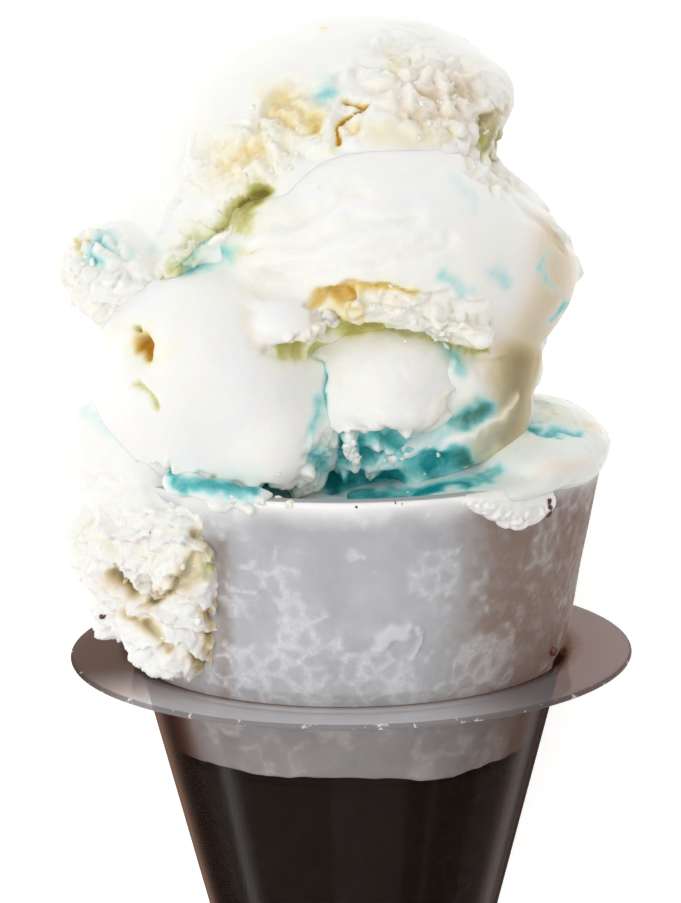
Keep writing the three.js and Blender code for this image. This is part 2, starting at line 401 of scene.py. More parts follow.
def leaf_height(points, size):
    """Overlapping leaves, each thick at its ragged lower edge and thinner upwards."""
    push = wobble(points, size * 1.6, 81) * 0.9 + wobble(points, size * 0.5, 82) * 0.3
    push = push + wobble(points, size * 0.2, 83) * 0.2
    rise = (points[:, 2] + 0.35 * points[:, 0]) / size + push
    rise = rise - np.floor(rise)
    return size * (0.36 * (1 - rise) ** 1.3 - 0.15)


def skin_height(points):
    """The slow swells and small pits of a scooped, half-melted skin, in millimetres."""
    return (
        0.45 * wobble(points, 13, 41)
        + 0.16 * wobble(points, 5, 42)
        + 0.05 * wobble(points, 1.7, 43)
    )


# %% How torn a piece is
def torn_relief(points, spots, seen, hidden, size, torn, torn_all, torn_back, leaves):
    """How torn each point is, and its height from curds, leaves and plain skin."""
    tear = np.full(len(points), float(torn_all))
    for line, width in torn:
        tear = np.maximum(tear, touch(spots, line, width) * seen)
    around = np.clip((wobble(points, 17, 53) - 0.12) * 3, 0, 1) * hidden
    tear = np.maximum(tear, around * torn_back)
    height = tear * torn_height(points, size) + (1 - 0.7 * tear) * skin_height(points)
    for line, width in leaves:
        leafy = touch(spots, line, width) * seen
        tear = np.maximum(tear, leafy)
        height = height * (1 - 0.5 * leafy) + leafy * leaf_height(points, size)
        height = height + 0.4 * leafy * torn_height(points, size * 0.5)
    return tear, height


# %% Creases, broken edges and beads
def carved(height, spots, flat_spots, seen, grooves, steps, knobs):
    """The height with grooves, steps and knobs worked into it."""
    for line, width, depth in grooves:
        distance, _ = away_from(spots, line)
        height = height - depth * falloff(distance, width) * seen
    for line, depth, reach in steps:
        distance, side = away_from(spots, line)
        fade = np.clip(1 - distance / reach, 0, 1)
        below = np.where(side < 0, np.clip(distance / 0.5, 0, 1), 0)
        lip = np.where(side > 0, falloff(distance, 1.3), 0) * 0.5
        height = height + (lip - depth * below * fade) * seen
    for place, radius, tall in knobs:
        distance, _ = away_from(flat_spots, [place])
        dome = np.sqrt(np.clip(1 - (distance / radius) ** 2, 0, 1))
        height = np.maximum(height, height * 0.3 + tall * dome) * (dome > 0) + height * (dome == 0)
    return height


# %% Syrups and painted shade: marks where they show, syrup veins on the side that doesn't
# The tan marks are painted shade; the olive ones are syrup in the pits and painted shade in the creases.
SYRUPS_AND_SHADE = ("blue", "gold", "olive_and_shade", "tan_shade")
SMOOTH_ABOVE = {"blue": 4, "gold": 4, "olive_and_shade": 4, "tan_shade": 2.3}  # wider marks have even edges


def syrup_and_shade_amounts(points, spots, flat_spots, seen, hidden, tear, tints, bare):
    """How much of each syrup and of each painted shade every point holds, one column for each name."""
    syrup_and_shade = {name: np.zeros(len(points)) for name in SYRUPS_AND_SHADE}
    for name, marks in dict(tints).items():
        for line, width, strength in marks:
            distance, _ = away_from(flat_spots if width > SMOOTH_ABOVE[name] else spots, line)
            core, halo = falloff(distance, width), 0.22 * falloff(distance, 2.2 * width)
            syrup_and_shade[name] = np.maximum(syrup_and_shade[name], strength * np.maximum(core, halo) * seen)
        for line, width in bare:
            distance, _ = away_from(spots, line)
            syrup_and_shade[name] *= 1 - 0.6 * falloff(distance, width)
    patchy = np.clip(0.3 + 1.6 * wobble(points, 10, 59), 0, 1)
    vein = 1 - np.abs(wobble(drift(points, 7, 4, 54), 17, 55)) * (9 - 5 * patchy)
    syrup_and_shade["blue"] = np.maximum(syrup_and_shade["blue"], np.clip(vein, 0, 1) * 0.7 * patchy * hidden)
    vein = 1 - np.abs(wobble(drift(points, 9, 3, 56), 16, 57)) * 8
    syrup_and_shade["gold"] = np.maximum(syrup_and_shade["gold"], np.clip(vein, 0, 1) * 0.5 * hidden * tear)
    return np.stack([syrup_and_shade[name] for name in SYRUPS_AND_SHADE], 1)


# %% Work one piece over
def work_over(
    piece, size, torn=(), torn_all=0.0, torn_back=1.0, leaves=(), cream=1.0,
    grooves=(), steps=(), knobs=(), tints=(), bare=(),
):
    """Gives a piece its relief and stores its torn places and syrups.

    size: how big its curds are.  torn, leaves: (line, width).
    torn_all, torn_back: how torn it is everywhere, and on the side that doesn't show.
    cream: how yellow the torn hollows are; the yellow is partly painted shade.
    grooves: (line, width, depth), with a negative depth for a ridge.
    steps: (line, depth, reach); the side below the line is cut back and recovers over the reach.
    knobs: (place, radius, height).  tints: each syrup's and painted shade's name to a list of (line, width,
    strength).
    bare: (line, width) of folds that came up clean through the syrup.
    """
    points, normal = read(piece), normals(piece)
    seen = towards_eye(points, normal)
    hidden = towards_eye(points, -normal) ** 2
    flat_spots = on_sheet(points)
    spots = on_sheet(drift(drift(points, 4.5, 1.3, 51), 1.4, 0.45, 52))
    tear, height = torn_relief(points, spots, seen, hidden, size, torn, torn_all, torn_back, leaves)
    height = carved(height, spots, flat_spots, seen, grooves, steps, knobs)
    streaks_and_shade = syrup_and_shade_amounts(points, spots, flat_spots, seen, hidden, tear, tints, bare)
    write(piece, points + normal * height[:, None])
    store(piece, "streaks_and_shade", streaks_and_shade)
    hollow = np.clip(0.5 - height / size, 0, 1)
    store(piece, "torn", np.stack([tear, hollow, seen, np.full(len(points), cream)], 1))
    print(piece.name, len(points), "points, heights", height.min().round(2), height.max().round(2))


def store(piece, name, values):
    """Keeps four numbers for each point as a colour that a material can read."""
    layer = piece.data.color_attributes.new(name, "FLOAT_COLOR", "POINT")
    layer.data.foreach_set("color", np.ascontiguousarray(values, dtype=np.float32).ravel())


# %% [markdown]
# ## The top scoop
#
# It is a dome that broke away from the tub at its lower front, so there it shows curds, and the
# syrups that were folded through it. A skirt of torn ice cream hangs at its left. It could be
# sculpted by hand, but lobes and named lines are easier to move one at a time. The dome is one
# lobe with its dents as bumps, and the skirt is the smaller lobes that lean out of it.

# %% Top scoop
top_scoop = remeshed(
    "top_scoop",
    [
        lobe((-3.2, 3, 71.5), (32.6, 29, 26.2), -20,
             [(0, 20, 20, -2.5), (-90, 20, 17, -2.2), (92, 30, 7, 0.9),
              (93, 8, 12, -8.6), (68, 5, 12, -6), (120, 6, 18, -8)]),
        lobe((-33.4, -9, 60), (9.9, 13, 7.8), 24),
        lobe((-31.2, -12, 54.6), (5.6, 9, 6)),
        lobe(behind((-23.5, 65), -18), (5, 6, 2.6), -38),
        lobe(behind((-17.8, 69.6), -19), (5, 6, 2.6), -38),
    ],
    voxel=0.44,
)
soften(top_scoop, 6)
TOP_RIGHT = [
    (40, 93), (25.2, 90), (25, 87.2), (23.2, 85), (22.1, 83.2), (21.2, 81.4), (21.8, 79), (40, 75),
]
trimmed(top_scoop, TOP_RIGHT)
TOP_EDGE = [(-24, 74), (-21, 78.4), (-15.2, 82.7), (-11.5, 87.7), (-6.4, 90.4), (0, 91.5)]
TOP_CRACK = [(0, 88.2), (3, 87.2), (1.8, 85.8), (-0.5, 83.9), (-1.2, 81.1)]
UNDER_TOP = [(-12.1, 74.4), (-15.4, 71.4), (-19, 69.7), (-22, 66.9), (-25.6, 64)]
work_over(
    top_scoop,
    size=4.2,
    cream=0.7,
    torn=[
        ([(-19, 78), (-14, 80), (-8, 84.5), (-1, 84)], 3.8),
        ([(8, 91), (13.6, 88), (17.5, 86), (19, 81)], 5.0),
        ([(-40, 66), (-37, 60), (-31, 57)], 6),
    ],
    leaves=[
        ([(-27, 62), (-23, 67), (-17, 71.5), (-13.5, 74.5)], 2.0),
        ([(-38, 57), (-30, 55)], 3.0),
    ],
    steps=[(TOP_EDGE, 1.4, 9)],
    grooves=[(TOP_CRACK, 0.45, 1.7), ([(21.4, 85.4), (20.4, 79)], 1.0, 1.3), (UNDER_TOP, 1.5, 1.2)],
    # The tan marks are painted shade at the dark right end and between the curds, and the olive ones painted
    # shade in the crease under the scoop.
    tints={
        "gold": [
            ([(-9.6, 87.4), (-7.6, 85.6)], 4.6, 0.32), ([(-16.5, 80.5), (-12, 80.5)], 4.6, 0.27),
            ([(-4, 84.6), (-2.6, 81.4)], 2.2, 0.42), ([(7.4, 93)], 2.0, 0.3), ([(-2.8, 97.1)], 0.8, 0.5),
            ([(0, 83), (8, 83.6), (14, 82.6)], 2.0, 0.28),
            (TOP_CRACK, 0.35, 0.9), ([(-38.6, 67.5)], 0.7, 1.0),
        ],
        "blue": [
            ([(-3.1, 89.4)], 1.8, 0.4), ([(-3.5, 91.8)], 1.6, 0.2), ([(-36, 66.2)], 2.6, 0.4),
            ([(-31.7, 65.9)], 1.5, 0.26), ([(-28.6, 66.7)], 1.4, 0.2),
            ([(-20.5, 67.6), (-24.6, 64.6)], 1.4, 0.24),
        ],
        "tan_shade": [
            ([(21.6, 85.8), (20.8, 80)], 1.5, 1.2), ([(10.5, 86.5), (16, 88)], 4.8, 0.42),
            ([(6.4, 90)], 2.0, 0.18), ([(17.5, 82)], 2.4, 0.3), ([(2, 82.4), (12, 82)], 1.4, 0.3),
        ],
        "olive_and_shade": [
            ([(21.8, 85), (20.2, 79)], 1.0, 0.35), (UNDER_TOP[:2], 1.3, 0.8), (UNDER_TOP[1:], 1.5, 0.55),
            ([(-24.9, 65.4), (-27.9, 61.1)], 1.0, 0.35),
        ],
    },
)

# %% [markdown]
# ## The middle scoop
#
# The scoop was dragged across here: the upper lobe is smooth, with soft folds along the drag, and
# ends in a ragged ledge. The lower left lobe is the biggest smooth face of all. Two pits in it
# show syrup, and its lower edge rests on the rim. The ledge and the fold at the lower right are
# rows of small lobes along a line: pushing the skin out that far would only make it swell.

# %% Middle scoop
LEDGE_TOP = [(-4.7, 58.6), (-0.3, 61.2), (4, 61.4), (7.6, 60.8), (11.3, 59.6), (17.8, 58.3)]
LEDGE_LOW = [(-1.1, 56.2), (4, 55.3), (7.6, 53.9), (12, 52.8), (15.6, 52.2), (19.2, 50.3)]
RIBBON = [(1.5, 58.2), (4.5, 58.4), (7.5, 57.4), (10.5, 56.2), (13.5, 55.6), (16.5, 54.8), (19, 53.4)]
RIDGE = [
    (6.5, 35.4), (8.5, 36), (10.5, 37), (12.5, 38.4), (14.2, 40.2), (15.7, 42.2), (17, 44.4), (18, 46.8),
]
HEM = [(14.4, 36.2), (16.6, 37.8), (19.5, 39.4), (22.4, 40.8), (24, 42.6), (24.6, 44)]
LOBE_EDGE = [(-27.1, 34.4), (-19, 31.7), (-12.9, 29.4), (-7.3, 29.6), (-1.8, 33.3)]
FOLDS = [
    [(-13.3, 64.3), (-6.8, 66.7), (0.5, 69), (9.2, 71.3)],
    [(-11.9, 60.1), (-2.5, 63.7), (7.7, 66.5), (14.9, 67.9)],
    [(-18.7, 69.3), (-14.7, 69.5), (-8.2, 71), (0.5, 73.8)],
]
middle_scoop = remeshed(
    "middle_scoop",
    [
        lobe((8.5, -8, 63), (27, 26.5, 19.5), 13,
             [(-88, 12, 14, 3), (88, 40, 20, -7), (88, -28, 14, -3.5), (4, -30, 15, -3)]),
        lobe((26.4, -8, 65.4), (6, 9, 4.2), 50),
        lobe((31.4, -3, 62), (5.6, 9, 6)),
        lobe((-6, -19, 67), (13.5, 11, 8)),
        lobe((20.5, -16.5, 40.5), (7, 10, 9.5)),
        lobe((15, -9, 49), (14.6, 21, 16)),
        lobe((-18.5, -14.5, 45.5), (19.5, 22.5, 19), 0, [(-32, 18, 7, -2)]),
        lobe((-12.5, -20, 39.5), (13, 16.5, 11.5)),
        lobe((-9, -25, 55.5), (8, 10.5, 5)),
    ]
    + [lobe(behind(spot, -30.5), (2.3, 4.6, 1.9)) for spot in RIBBON]
    + [lobe(behind((15.5, 38.4), -23.5), (5.8, 5.2, 4.8)), lobe(behind((18.5, 44), -22), (4.5, 6, 5))]
    + [lobe(behind(spot, -25.8), (1.9, 3.4, 1.6), 40) for spot in RIDGE],
    voxel=0.45,
)
soften(middle_scoop, 12)
soften(middle_scoop, 60, touch(on_sheet(read(middle_scoop)), [(-20, 45), (-13, 38)], 8))
trimmed(middle_scoop, [(50, 76), (26.6, 75), (34.5, 62.2), (30.3, 54.6), (50, 53.5)])
work_over(
    middle_scoop,
    size=4.6,
    torn=[
        (RIBBON, 1.9),
        (LOBE_EDGE, 0.9),
        ([(-4, 37), (-6, 32)], 2.0),
        ([(19, 79), (23, 76)], 2.0),
        ([(-8, 53.4), (-4, 53.2)], 1.0),
    ],
    steps=[(LEDGE_TOP, 1.3, 2.2), (LEDGE_LOW, 3.2, 5), (LOBE_EDGE, 2.4, 5)],
    grooves=[(fold, 1.4, 0.9) for fold in FOLDS]
    + [
        ([(-30.4, 52.2), (-29.2, 52)], 1.2, 3.4), ([(-30.6, 54.8)], 0.8, 2.2),
        ([(-31, 45.9), (-28.2, 43.5)], 0.8, 0.55),
        ([(-14.6, 57.6), (-14.8, 54.4), (-12.6, 52)], 0.9, 0.8), ([(-12, 51.2), (-4, 51)], 0.9, 1.8),
        ([(-4, 59), (0.5, 59.4)], 1.0, 1.6),
        (HEM, 0.8, -0.6), ([(24, 73.5), (31, 66)], 1.2, 0.8),
    ],
    # The tan marks are painted shade low on the right and along the folds; the olive ones are syrup in the
    # pit at the left and painted shade in the creases under the ledge and under the top scoop.
    tints={
        "gold": [
            ([(-30.4, 52.2), (-29.2, 52)], 1.7, 1.35),
            ([(-4, 58.6), (-1.1, 60), (4, 60.5), (9.1, 60)], 1.3, 0.7),
            ([(-15.9, 66)], 2.0, 0.55), ([(-13.6, 65)], 0.6, 0.8), ([(-24.4, 56.6)], 1.8, 0.12),
            ([(-2.6, 58.4), (0, 59.6)], 1.4, 0.75), ([(-3.2, 56), (0.5, 57), (3, 56.2)], 1.0, 0.65),
        ],
        "olive_and_shade": [
            ([(-30.6, 54.8)], 0.9, 1.0), ([(-31, 45.9), (-28.2, 43.5)], 0.9, 0.42),
            ([(-2, 53.8), (6, 53.4)], 1.5, 0.7), ([(-4.1, 51.5)], 1.2, 0.6),
            ([(-10, 50.8), (-6, 51.2)], 1.2, 0.7), ([(13, 52.3), (19.5, 50.3)], 1.0, 0.75),
            (UNDER_TOP, 1.4, 0.4), ([(21.6, 36), (17.6, 34.4)], 1.6, 0.25),
            ([(-12.4, 73.4), (-15.6, 70.6)], 1.3, 0.75),
        ],
        "blue": [
            ([(13.6, 61.6), (16.5, 59.6)], 1.5, 0.34), ([(20.6, 63), (22.5, 60)], 1.5, 0.32),
            ([(28, 64.6), (29.2, 60.8)], 0.7, 0.32), ([(15.5, 75.4), (18.5, 72.4)], 1.6, 0.18),
            ([(31, 57.6), (29.6, 55.2)], 0.8, 0.45), ([(-5.2, 44), (-4.6, 38), (-3.2, 33.3)], 1.1, 0.42),
            ([(-4.4, 36.4), (-5.6, 32.4)], 2.0, 0.45), ([(14.8, 50.2), (16, 47.5)], 1.6, 0.4),
            ([(15.6, 39.4), (14, 37)], 2.0, 0.3), ([(12.4, 34.8), (16.6, 35)], 1.6, 1.1),
            ([(19.4, 41.8), (17, 40.2)], 2.3, 0.85), ([(10, 36), (14, 39)], 2.0, 0.25),
            ([(-24.5, 64.6), (-17.2, 66)], 2.1, 0.45),
            ([(-26.1, 33), (-23.8, 30.6), (-18.3, 29.8), (-12.5, 28.4), (-8, 28.2)], 1.5, 0.95),
        ],
        "tan_shade": [
            ([(25, 49), (24.2, 44), (22.8, 39), (20, 34.5)], 4.6, 0.97), ([(28, 49), (27, 43)], 4.1, 0.8),
            ([(19.4, 41.8), (17.4, 40.4)], 2.6, 0.95), ([(18, 66), (23, 59)], 6, 0.13),
            ([(30.5, 67), (29.5, 59), (26, 51.5)], 4.6, 0.54), ([(19.5, 58), (21.5, 55)], 2.4, 0.2),
            ([(-15, 57), (-15, 53.5), (-12, 50.6)], 1.2, 0.25),
        ]
        + [(fold, 1.6, 0.15) for fold in FOLDS],
    },
    bare=[(HEM, 0.75)],
)

# %% [markdown]
# ## The bottom scoop
#
# Only its front shows between the others: a white bulge that broke off above a band where the blue
# syrup lies thick. The rest of it is packed into the mouth of the cone and pressed flat where the
# whole thing lies, so points below the floor are put back on it. A boolean could cut it flat, but
# moving the points keeps the skin whole.

# %% Bottom scoop
STRIP = [  # spot, depth, size: a blue leaf that hangs on the rim, and white flakes below it
    ((-24.4, 31.8), -31.2, (3.4, 2.4, 2.3)),
    ((-20, 30.6), -33.6, (3.9, 2.2, 1.7)),
    ((-15, 29.6), -35.4, (3.6, 2.0, 1.2)),
    ((-18.2, 28.4), -35.4, (2.4, 1.6, 0.9)),
    ((-15.0, 28.0), -36.6, (1.9, 1.4, 0.8)),
]
bottom_scoop = remeshed(
    "bottom_scoop",
    [
        lobe((-1, 6, 43), (29.5, 37, 19), 0, [(180, 0, 35, 3.5)]),
        lobe((6, -18, 47.2), (12.8, 16, 9.6)),
        lobe((6.4, -25, 43.3), (9.6, 9.4, 4.8), 4),
        lobe((9, -17, 35.3), (10.5, 12.2, 5.4), 6),
        lobe((0, 0, 26.5), (35.2, 35.2, 5)),
    ]
    + [lobe(behind(spot, y), size) for spot, y, size in STRIP],
    voxel=0.5,
)
soften(bottom_scoop, 7)
BULGE_EDGE = [(-2, 39.3), (0.2, 40.5), (3.8, 40), (8.9, 38.9), (13.3, 41.8), (15.6, 44.8), (17.5, 46.5)]
work_over(
    bottom_scoop,
    size=4.5,
    torn=[
        ([(-1, 35.6), (6, 35.5)], 2.6), (BULGE_EDGE[:4], 0.8), ([(4, 31.5), (14, 31)], 1.4),
        ([(-20, 28.2), (-14, 27.8)], 0.9),
    ],
    torn_all=0.1,
    cream=0.5,
    steps=[(BULGE_EDGE, 1.7, 6)],
    grooves=[
        ([(-5.7, 49.5), (-5, 46), (-4.5, 41.6), (-3.4, 38.3)], 0.9, 2.4),
        ([(6.7, 35.5), (12.6, 38.4), (16.3, 42.8), (17.8, 45.8)], 1.2, -1.3),
        ([(-3.4, 34.4), (-2.4, 31.2)], 0.9, 2.2),
    ],
    knobs=[
        ((0.1, 37.8), 1.1, 1.5), ((0.4, 36), 1.1, 1.6), ((0.8, 34.3), 0.9, 1.4),
        ((-0.7, 32.6), 0.7, 1.2), ((4.1, 36.8), 0.7, 1.0),
    ],
    # The tan mark is painted shade under the broken edge, and the olive one painted shade under the ledge
    # above.
    tints={
        "blue": [
            ([(-1, 35.6), (7.4, 35.6), (15.5, 34.6)], 3.6, 0.62), ([(12.1, 34.3), (16.5, 34.9)], 1.8, 1.1),
            ([(-3, 31), (2.3, 31.6), (7.4, 31.4), (13.3, 30.8), (17, 30.4)], 1.5, 1.1),
            ([(-5.7, 49.5), (-5, 46), (-4.5, 41.6), (-3.4, 38.3), (-2.4, 31)], 0.9, 1.2),
            ([(13.4, 51.7), (15.1, 49.2), (17, 46.5)], 1.8, 0.36),
            ([(-26, 34), (-24.8, 31.4), (-20.5, 30.8), (-15, 30)], 1.7, 0.8),
            ([(-26, 33), (-25, 30.6)], 0.9, 0.9),
        ],
        "tan_shade": [([(4, 40), (9, 39.8), (14.5, 43)], 1.1, 0.35)],
        "olive_and_shade": [([(-0.4, 54.5), (6, 54), (13, 52.4)], 1.3, 0.55)],
    },
)
pressed = read(bottom_scoop)
floor_at = AXIS_Z / MM
print("pressed flat:", int((pressed[:, 1] > floor_at).sum()), "points")
pressed[:, 1] = np.minimum(pressed[:, 1], floor_at - 0.02)
write(bottom_scoop, pressed)

# %% [markdown]
# ## The spill
#
# A ragged lump slid over the rim before the rest froze to it. It is torn all over, in leaves that
# hang down, with cream and yellow in its hollows. Flakes could be laid on it one by one. A
# height that climbs and drops back, pushed about by noise, gives the same leaves in one skin.

# %% Spill
spill_lump = remeshed(
    "spill_lump",
    [
        lobe((-32.6, -8, 45), (6.6, 12, 6.3)),
        lobe((-32.3, -13, 33.2), (11.2, 14, 10.8)),
        lobe((-30.2, -18.5, 22.5), (12, 12, 12.5)),
        lobe((-35, -18, 10.5), (4, 6, 4.5)),
        lobe((-23.6, -27.5, 21), (6, 7, 10)),
        lobe((-26.3, -23, 10.8), (8.6, 8.5, 9.2)),
    ],
    voxel=0.34,
)
soften(spill_lump, 5)
work_over(
    spill_lump,
    size=4.8,
    torn_all=0.12,
    cream=0.12,
    torn=[([(-38, 24), (-28, 25), (-20, 25)], 3.0), ([(-40, 20), (-38, 12)], 4)],
    leaves=[([(-34, 17), (-27, 16), (-26, 6)], 8.5)],
    grooves=[
        ([(-39, 33), (-34, 31.5)], 0.7, 0.7), ([(-24, 24), (-19, 22)], 1.1, 1.8),
        ([(-17.6, 22.5), (-19.6, 20)], 0.8, 1.8), ([(-26, 16), (-22.6, 18.8)], 0.9, 1.3),
        ([(-30, 11), (-29.6, 6.8)], 0.7, 0.7), ([(-36, 17.4), (-32.6, 16)], 0.8, 0.9),
    ],
    # The tan and olive marks are painted shade in the hollows between the leaves.
    tints={
        "gold": [
            ([(-20, 22), (-24, 16.6)], 1.8, 0.2), ([(-29.6, 11), (-29, 7)], 1.2, 0.2),
            ([(-31.1, 22)], 2.2, 0.12),
        ],
        "blue": [
            ([(-26, 33), (-23.6, 30.6), (-20, 29.4)], 1.6, 1.0), ([(-38.5, 43), (-34, 40)], 2.2, 0.2),
            ([(-30, 37)], 2.6, 0.12),
        ],
        "olive_and_shade": [
            ([(-20.5, 27), (-18, 25.5)], 1.6, 0.5), ([(-18.5, 22), (-21, 18)], 1.3, 0.25),
            ([(-38, 25), (-35, 19)], 1.2, 0.2),
        ],
        "tan_shade": [
            ([(-20, 21.4), (-22.2, 19.2), (-25, 16.6)], 1.9, 1.1), ([(-27.5, 15), (-29.8, 13.6)], 1.6, 0.9),
            ([(-35.5, 17), (-32.6, 15.6)], 1.7, 0.7), ([(-31, 10.4), (-28, 6)], 1.2, 0.8),
            ([(-20, 12), (-21, 7), (-23.4, 4)], 1.7, 0.85), ([(-33.5, 11.6), (-31.6, 10)], 1.3, 0.6),
            ([(-27, 3)], 2.6, 0.3), ([(-24, 24), (-20, 24)], 1.2, 0.5),
        ],
    },
)

# %% [markdown]
# ## The melt
#
# Melted ice cream lies in the mouth at the right, wet and smooth, and runs over the rim. It needs
# almost no relief: only its swells and the blue lines in it. A fluid simulation could pour it, but
# two lobes, well softened, settle into the same pool.

# %% Melt
melt_pool = remeshed(
    "melt_pool",
    [
        lobe((27.5, -8, 33.4), (11.8, 21, 6.8)),
        lobe((14, -20, 29.5), (20, 15, 3.2), -6),
    ],
    voxel=0.36,
)
soften(melt_pool, 24)
work_over(
    melt_pool,
    size=3.0,
    torn_back=0.0,
    grooves=[
        ([(26.5, 40.4), (29.2, 39.1), (33.6, 38.4)], 0.9, 0.5),
        ([(24, 43.5), (28.5, 42.4), (32, 40.6)], 1.0, -0.8), ([(35.5, 38.6), (37.6, 36.4)], 1.2, -0.7),
    ],
    # The tan marks are painted shade on the right of the pool and along its swells.
    tints={
        "blue": [
            ([(26.5, 40.4), (29.2, 39.1), (33.6, 38.4)], 0.8, 0.75),
            ([(22.1, 33.4), (17.7, 32), (11.8, 30.6), (6, 30)], 1.1, 0.6),
            ([(17, 31.4), (10, 30)], 0.8, 0.95), ([(-1, 29.4), (4, 29.2), (9, 29.2)], 0.9, 1.0),
            ([(27, 43), (33, 41)], 2.6, 0.16),
        ],
        "tan_shade": [
            ([(27, 31.2), (34, 34.5)], 1.2, 0.3), ([(22, 37), (25, 41)], 1.6, 0.5),
            ([(26, 43), (33, 40.8), (36, 38.6)], 1.6, 0.4),
        ],
    },
)

# %% [markdown]
# ## The set drip
#
# Where the melt ran over the rim it set as a white scrap, flat against the wall, with a ragged
# lower edge. It is a row of small lobes along the wall, so its outline is a short list of heights.

# %% Set drip
DRIP = [  # across, up, half its height
    (17.2, 30.6, 1.0), (19, 30, 1.7), (20.8, 29.4, 2.5), (22.6, 28.7, 3.2),
    (24.4, 28.3, 3.5), (26.2, 28.3, 3.2), (27.8, 28.6, 2.7),
]
WALL = 38.6
set_drip = remeshed(
    "set_drip",
    [lobe((x, -math.sqrt(WALL**2 - x**2), z), (2.8, 1.5, tall)) for x, z, tall in DRIP],
    voxel=0.3,
)
soften(set_drip, 16)
work_over(
    set_drip,
    size=1.8,
    torn_back=0.0,
    cream=0.0,
    torn=[([(18, 28.4), (21.4, 25.8), (25, 24.6), (28.8, 26.4)], 0.9)],
)

# %% [markdown]
# ## Turned pieces
#
# The coating, the cone and the holder are round. Each is a profile of radius and height turned
# about the axis. The profile is first walked in even steps, so that the mesh has squares small
# enough to carry frost and pores. A screw modifier could do the turning, but here the rows
# stay in order, and the coating closes on itself without a seam.

# %% Sizes of the cone and the holder, in millimetres
GAP = 0.35
FLANGE_RADIUS = 43.85
HOLDER_MOUTH = 32.7
HOLDER_WALL = 0.8
TAPER = 0.253
UPPER_TAPER = 0.185
RIM_RADIUS, RIM_HEIGHT = 39.3, 31.5
RIM_WALL = 3.4
COATING = 0.8
COATING_EDGE = -13.6
SHOULDER = 1.5


def holder_inner(z):
    return HOLDER_MOUTH + TAPER * z


def coating_outer(z):
    if z < 0:
        return holder_inner(z) - GAP
    return RIM_RADIUS + UPPER_TAPER * (z - RIM_HEIGHT)


# %% Walk a profile and turn it
def arc(r, z, radius, first, last, count):
    """Profile points on an arc about (r, z), angles in degrees."""
    angles = np.radians(np.linspace(first, last, count))
    return [(r + radius * math.cos(a), z + radius * math.sin(a)) for a in angles]


def walked(profile, step):
    """The same profile with points every `step` millimetres; its corners are kept."""
    out = [profile[0]]
    for (r0, z0), (r1, z1) in zip(profile[:-1], profile[1:]):
        count = max(1, round(math.hypot(r1 - r0, z1 - z0) / step))
        out += [(r0 + (r1 - r0) * i / count, z0 + (z1 - z0) * i / count) for i in range(1, count + 1)]
    return out


def turned(name, profile, around, closed=False):
    """A profile turned about the upright axis, as a smooth-shaded mesh."""
    ring = np.linspace(0, 2 * math.pi, around, endpoint=False)
    radius, height = np.array(profile).T
    points = np.stack(
        [
            np.outer(radius, np.sin(ring)),
            -np.outer(radius, np.cos(ring)),
            np.repeat(height[:, None], around, 1),
        ],
        2,
    ).reshape(-1, 3)
    rows = len(profile) if closed else len(profile) - 1
    i, j = np.meshgrid(np.arange(rows), np.arange(around), indexing="ij")
    i2, j2 = (i + 1) % len(profile), (j + 1) % around
    corners = [i * around + j, i * around + j2, i2 * around + j2, i2 * around + j]
    faces = np.stack([c.ravel() for c in corners], 1)
    piece = new_object(name, laid(points), faces)
    tidy = bmesh.new()
    tidy.from_mesh(piece.data)
    bmesh.ops.remove_doubles(tidy, verts=tidy.verts, dist=1e-7)
    bmesh.ops.recalc_face_normals(tidy, faces=tidy.faces)
    tidy.to_mesh(piece.data)
    tidy.free()
    piece.data.shade_smooth()
    return piece


# %% [markdown]
# ## The dipped coating
#
# A real cone is dipped head first in melted coating, which sets as a thin skin with a wavy edge.
# Cold has covered this one with frost: pale patches with darker round spots in them, a little
# raised. Near the middle a flake of it stands out, and melted ice cream has washed the rim pale.
# Each of these is worked out once for every point, used for the relief and kept for the finish. Low down,
# just above the flange, the frost is made thicker as painted light thrown up by the flange, and the coating
# gets painted shade towards its right and beside the spill.

# %% The coating's profile
lip = RIM_RADIUS - RIM_WALL
coat_side = [(coating_outer(z), z) for z in (COATING_EDGE + 0.3, -SHOULDER, SHOULDER)]
coat_over = (
    arc(RIM_RADIUS - 0.75, RIM_HEIGHT - 0.75, 0.75, 0, 90, 6)
    + arc(lip + 0.75, RIM_HEIGHT - 0.75, 0.75, 90, 180, 6)
    + [(lip, RIM_HEIGHT - 2.1)]
)
coat_under = [
    (lip + COATING, RIM_HEIGHT - 2.4),
    (lip + COATING, RIM_HEIGHT - COATING),
    (RIM_RADIUS - COATING, RIM_HEIGHT - COATING),
]
coat_inside = [(r - COATING, z) for r, z in reversed(coat_side)]
coat_profile = walked(coat_side + coat_over, 0.42) + walked(coat_under + coat_inside, 2.5)
dipped_coating = turned("dipped_coating", coat_profile, 500, closed=True)

# %% Its wavy edge
points, normal = read(dipped_coating), normals(dipped_coating)
radius = np.hypot(points[:, 0], points[:, 1])
MIDDLE = ([COATING_EDGE, 0, RIM_HEIGHT], [28.3, 32.2, 38.9])  # heights, and radii inside the skin
outside = (radius > np.interp(points[:, 2], *MIDDLE)).astype(float)
turn_at = np.arctan2(points[:, 1], points[:, 0])
near_edge = np.clip((COATING_EDGE + 2.4 - points[:, 2]) / 2, 0, 1)
slide = near_edge * (
    0.6 * (np.sin(3 * turn_at + 1) + 0.5 * np.sin(7 * turn_at))
    + 0.22 * wobble(points * [1, 1, 0.2], 2.6, 61)
)
print("the edge waves from", slide.min().round(2), "to", slide.max().round(2), "mm")

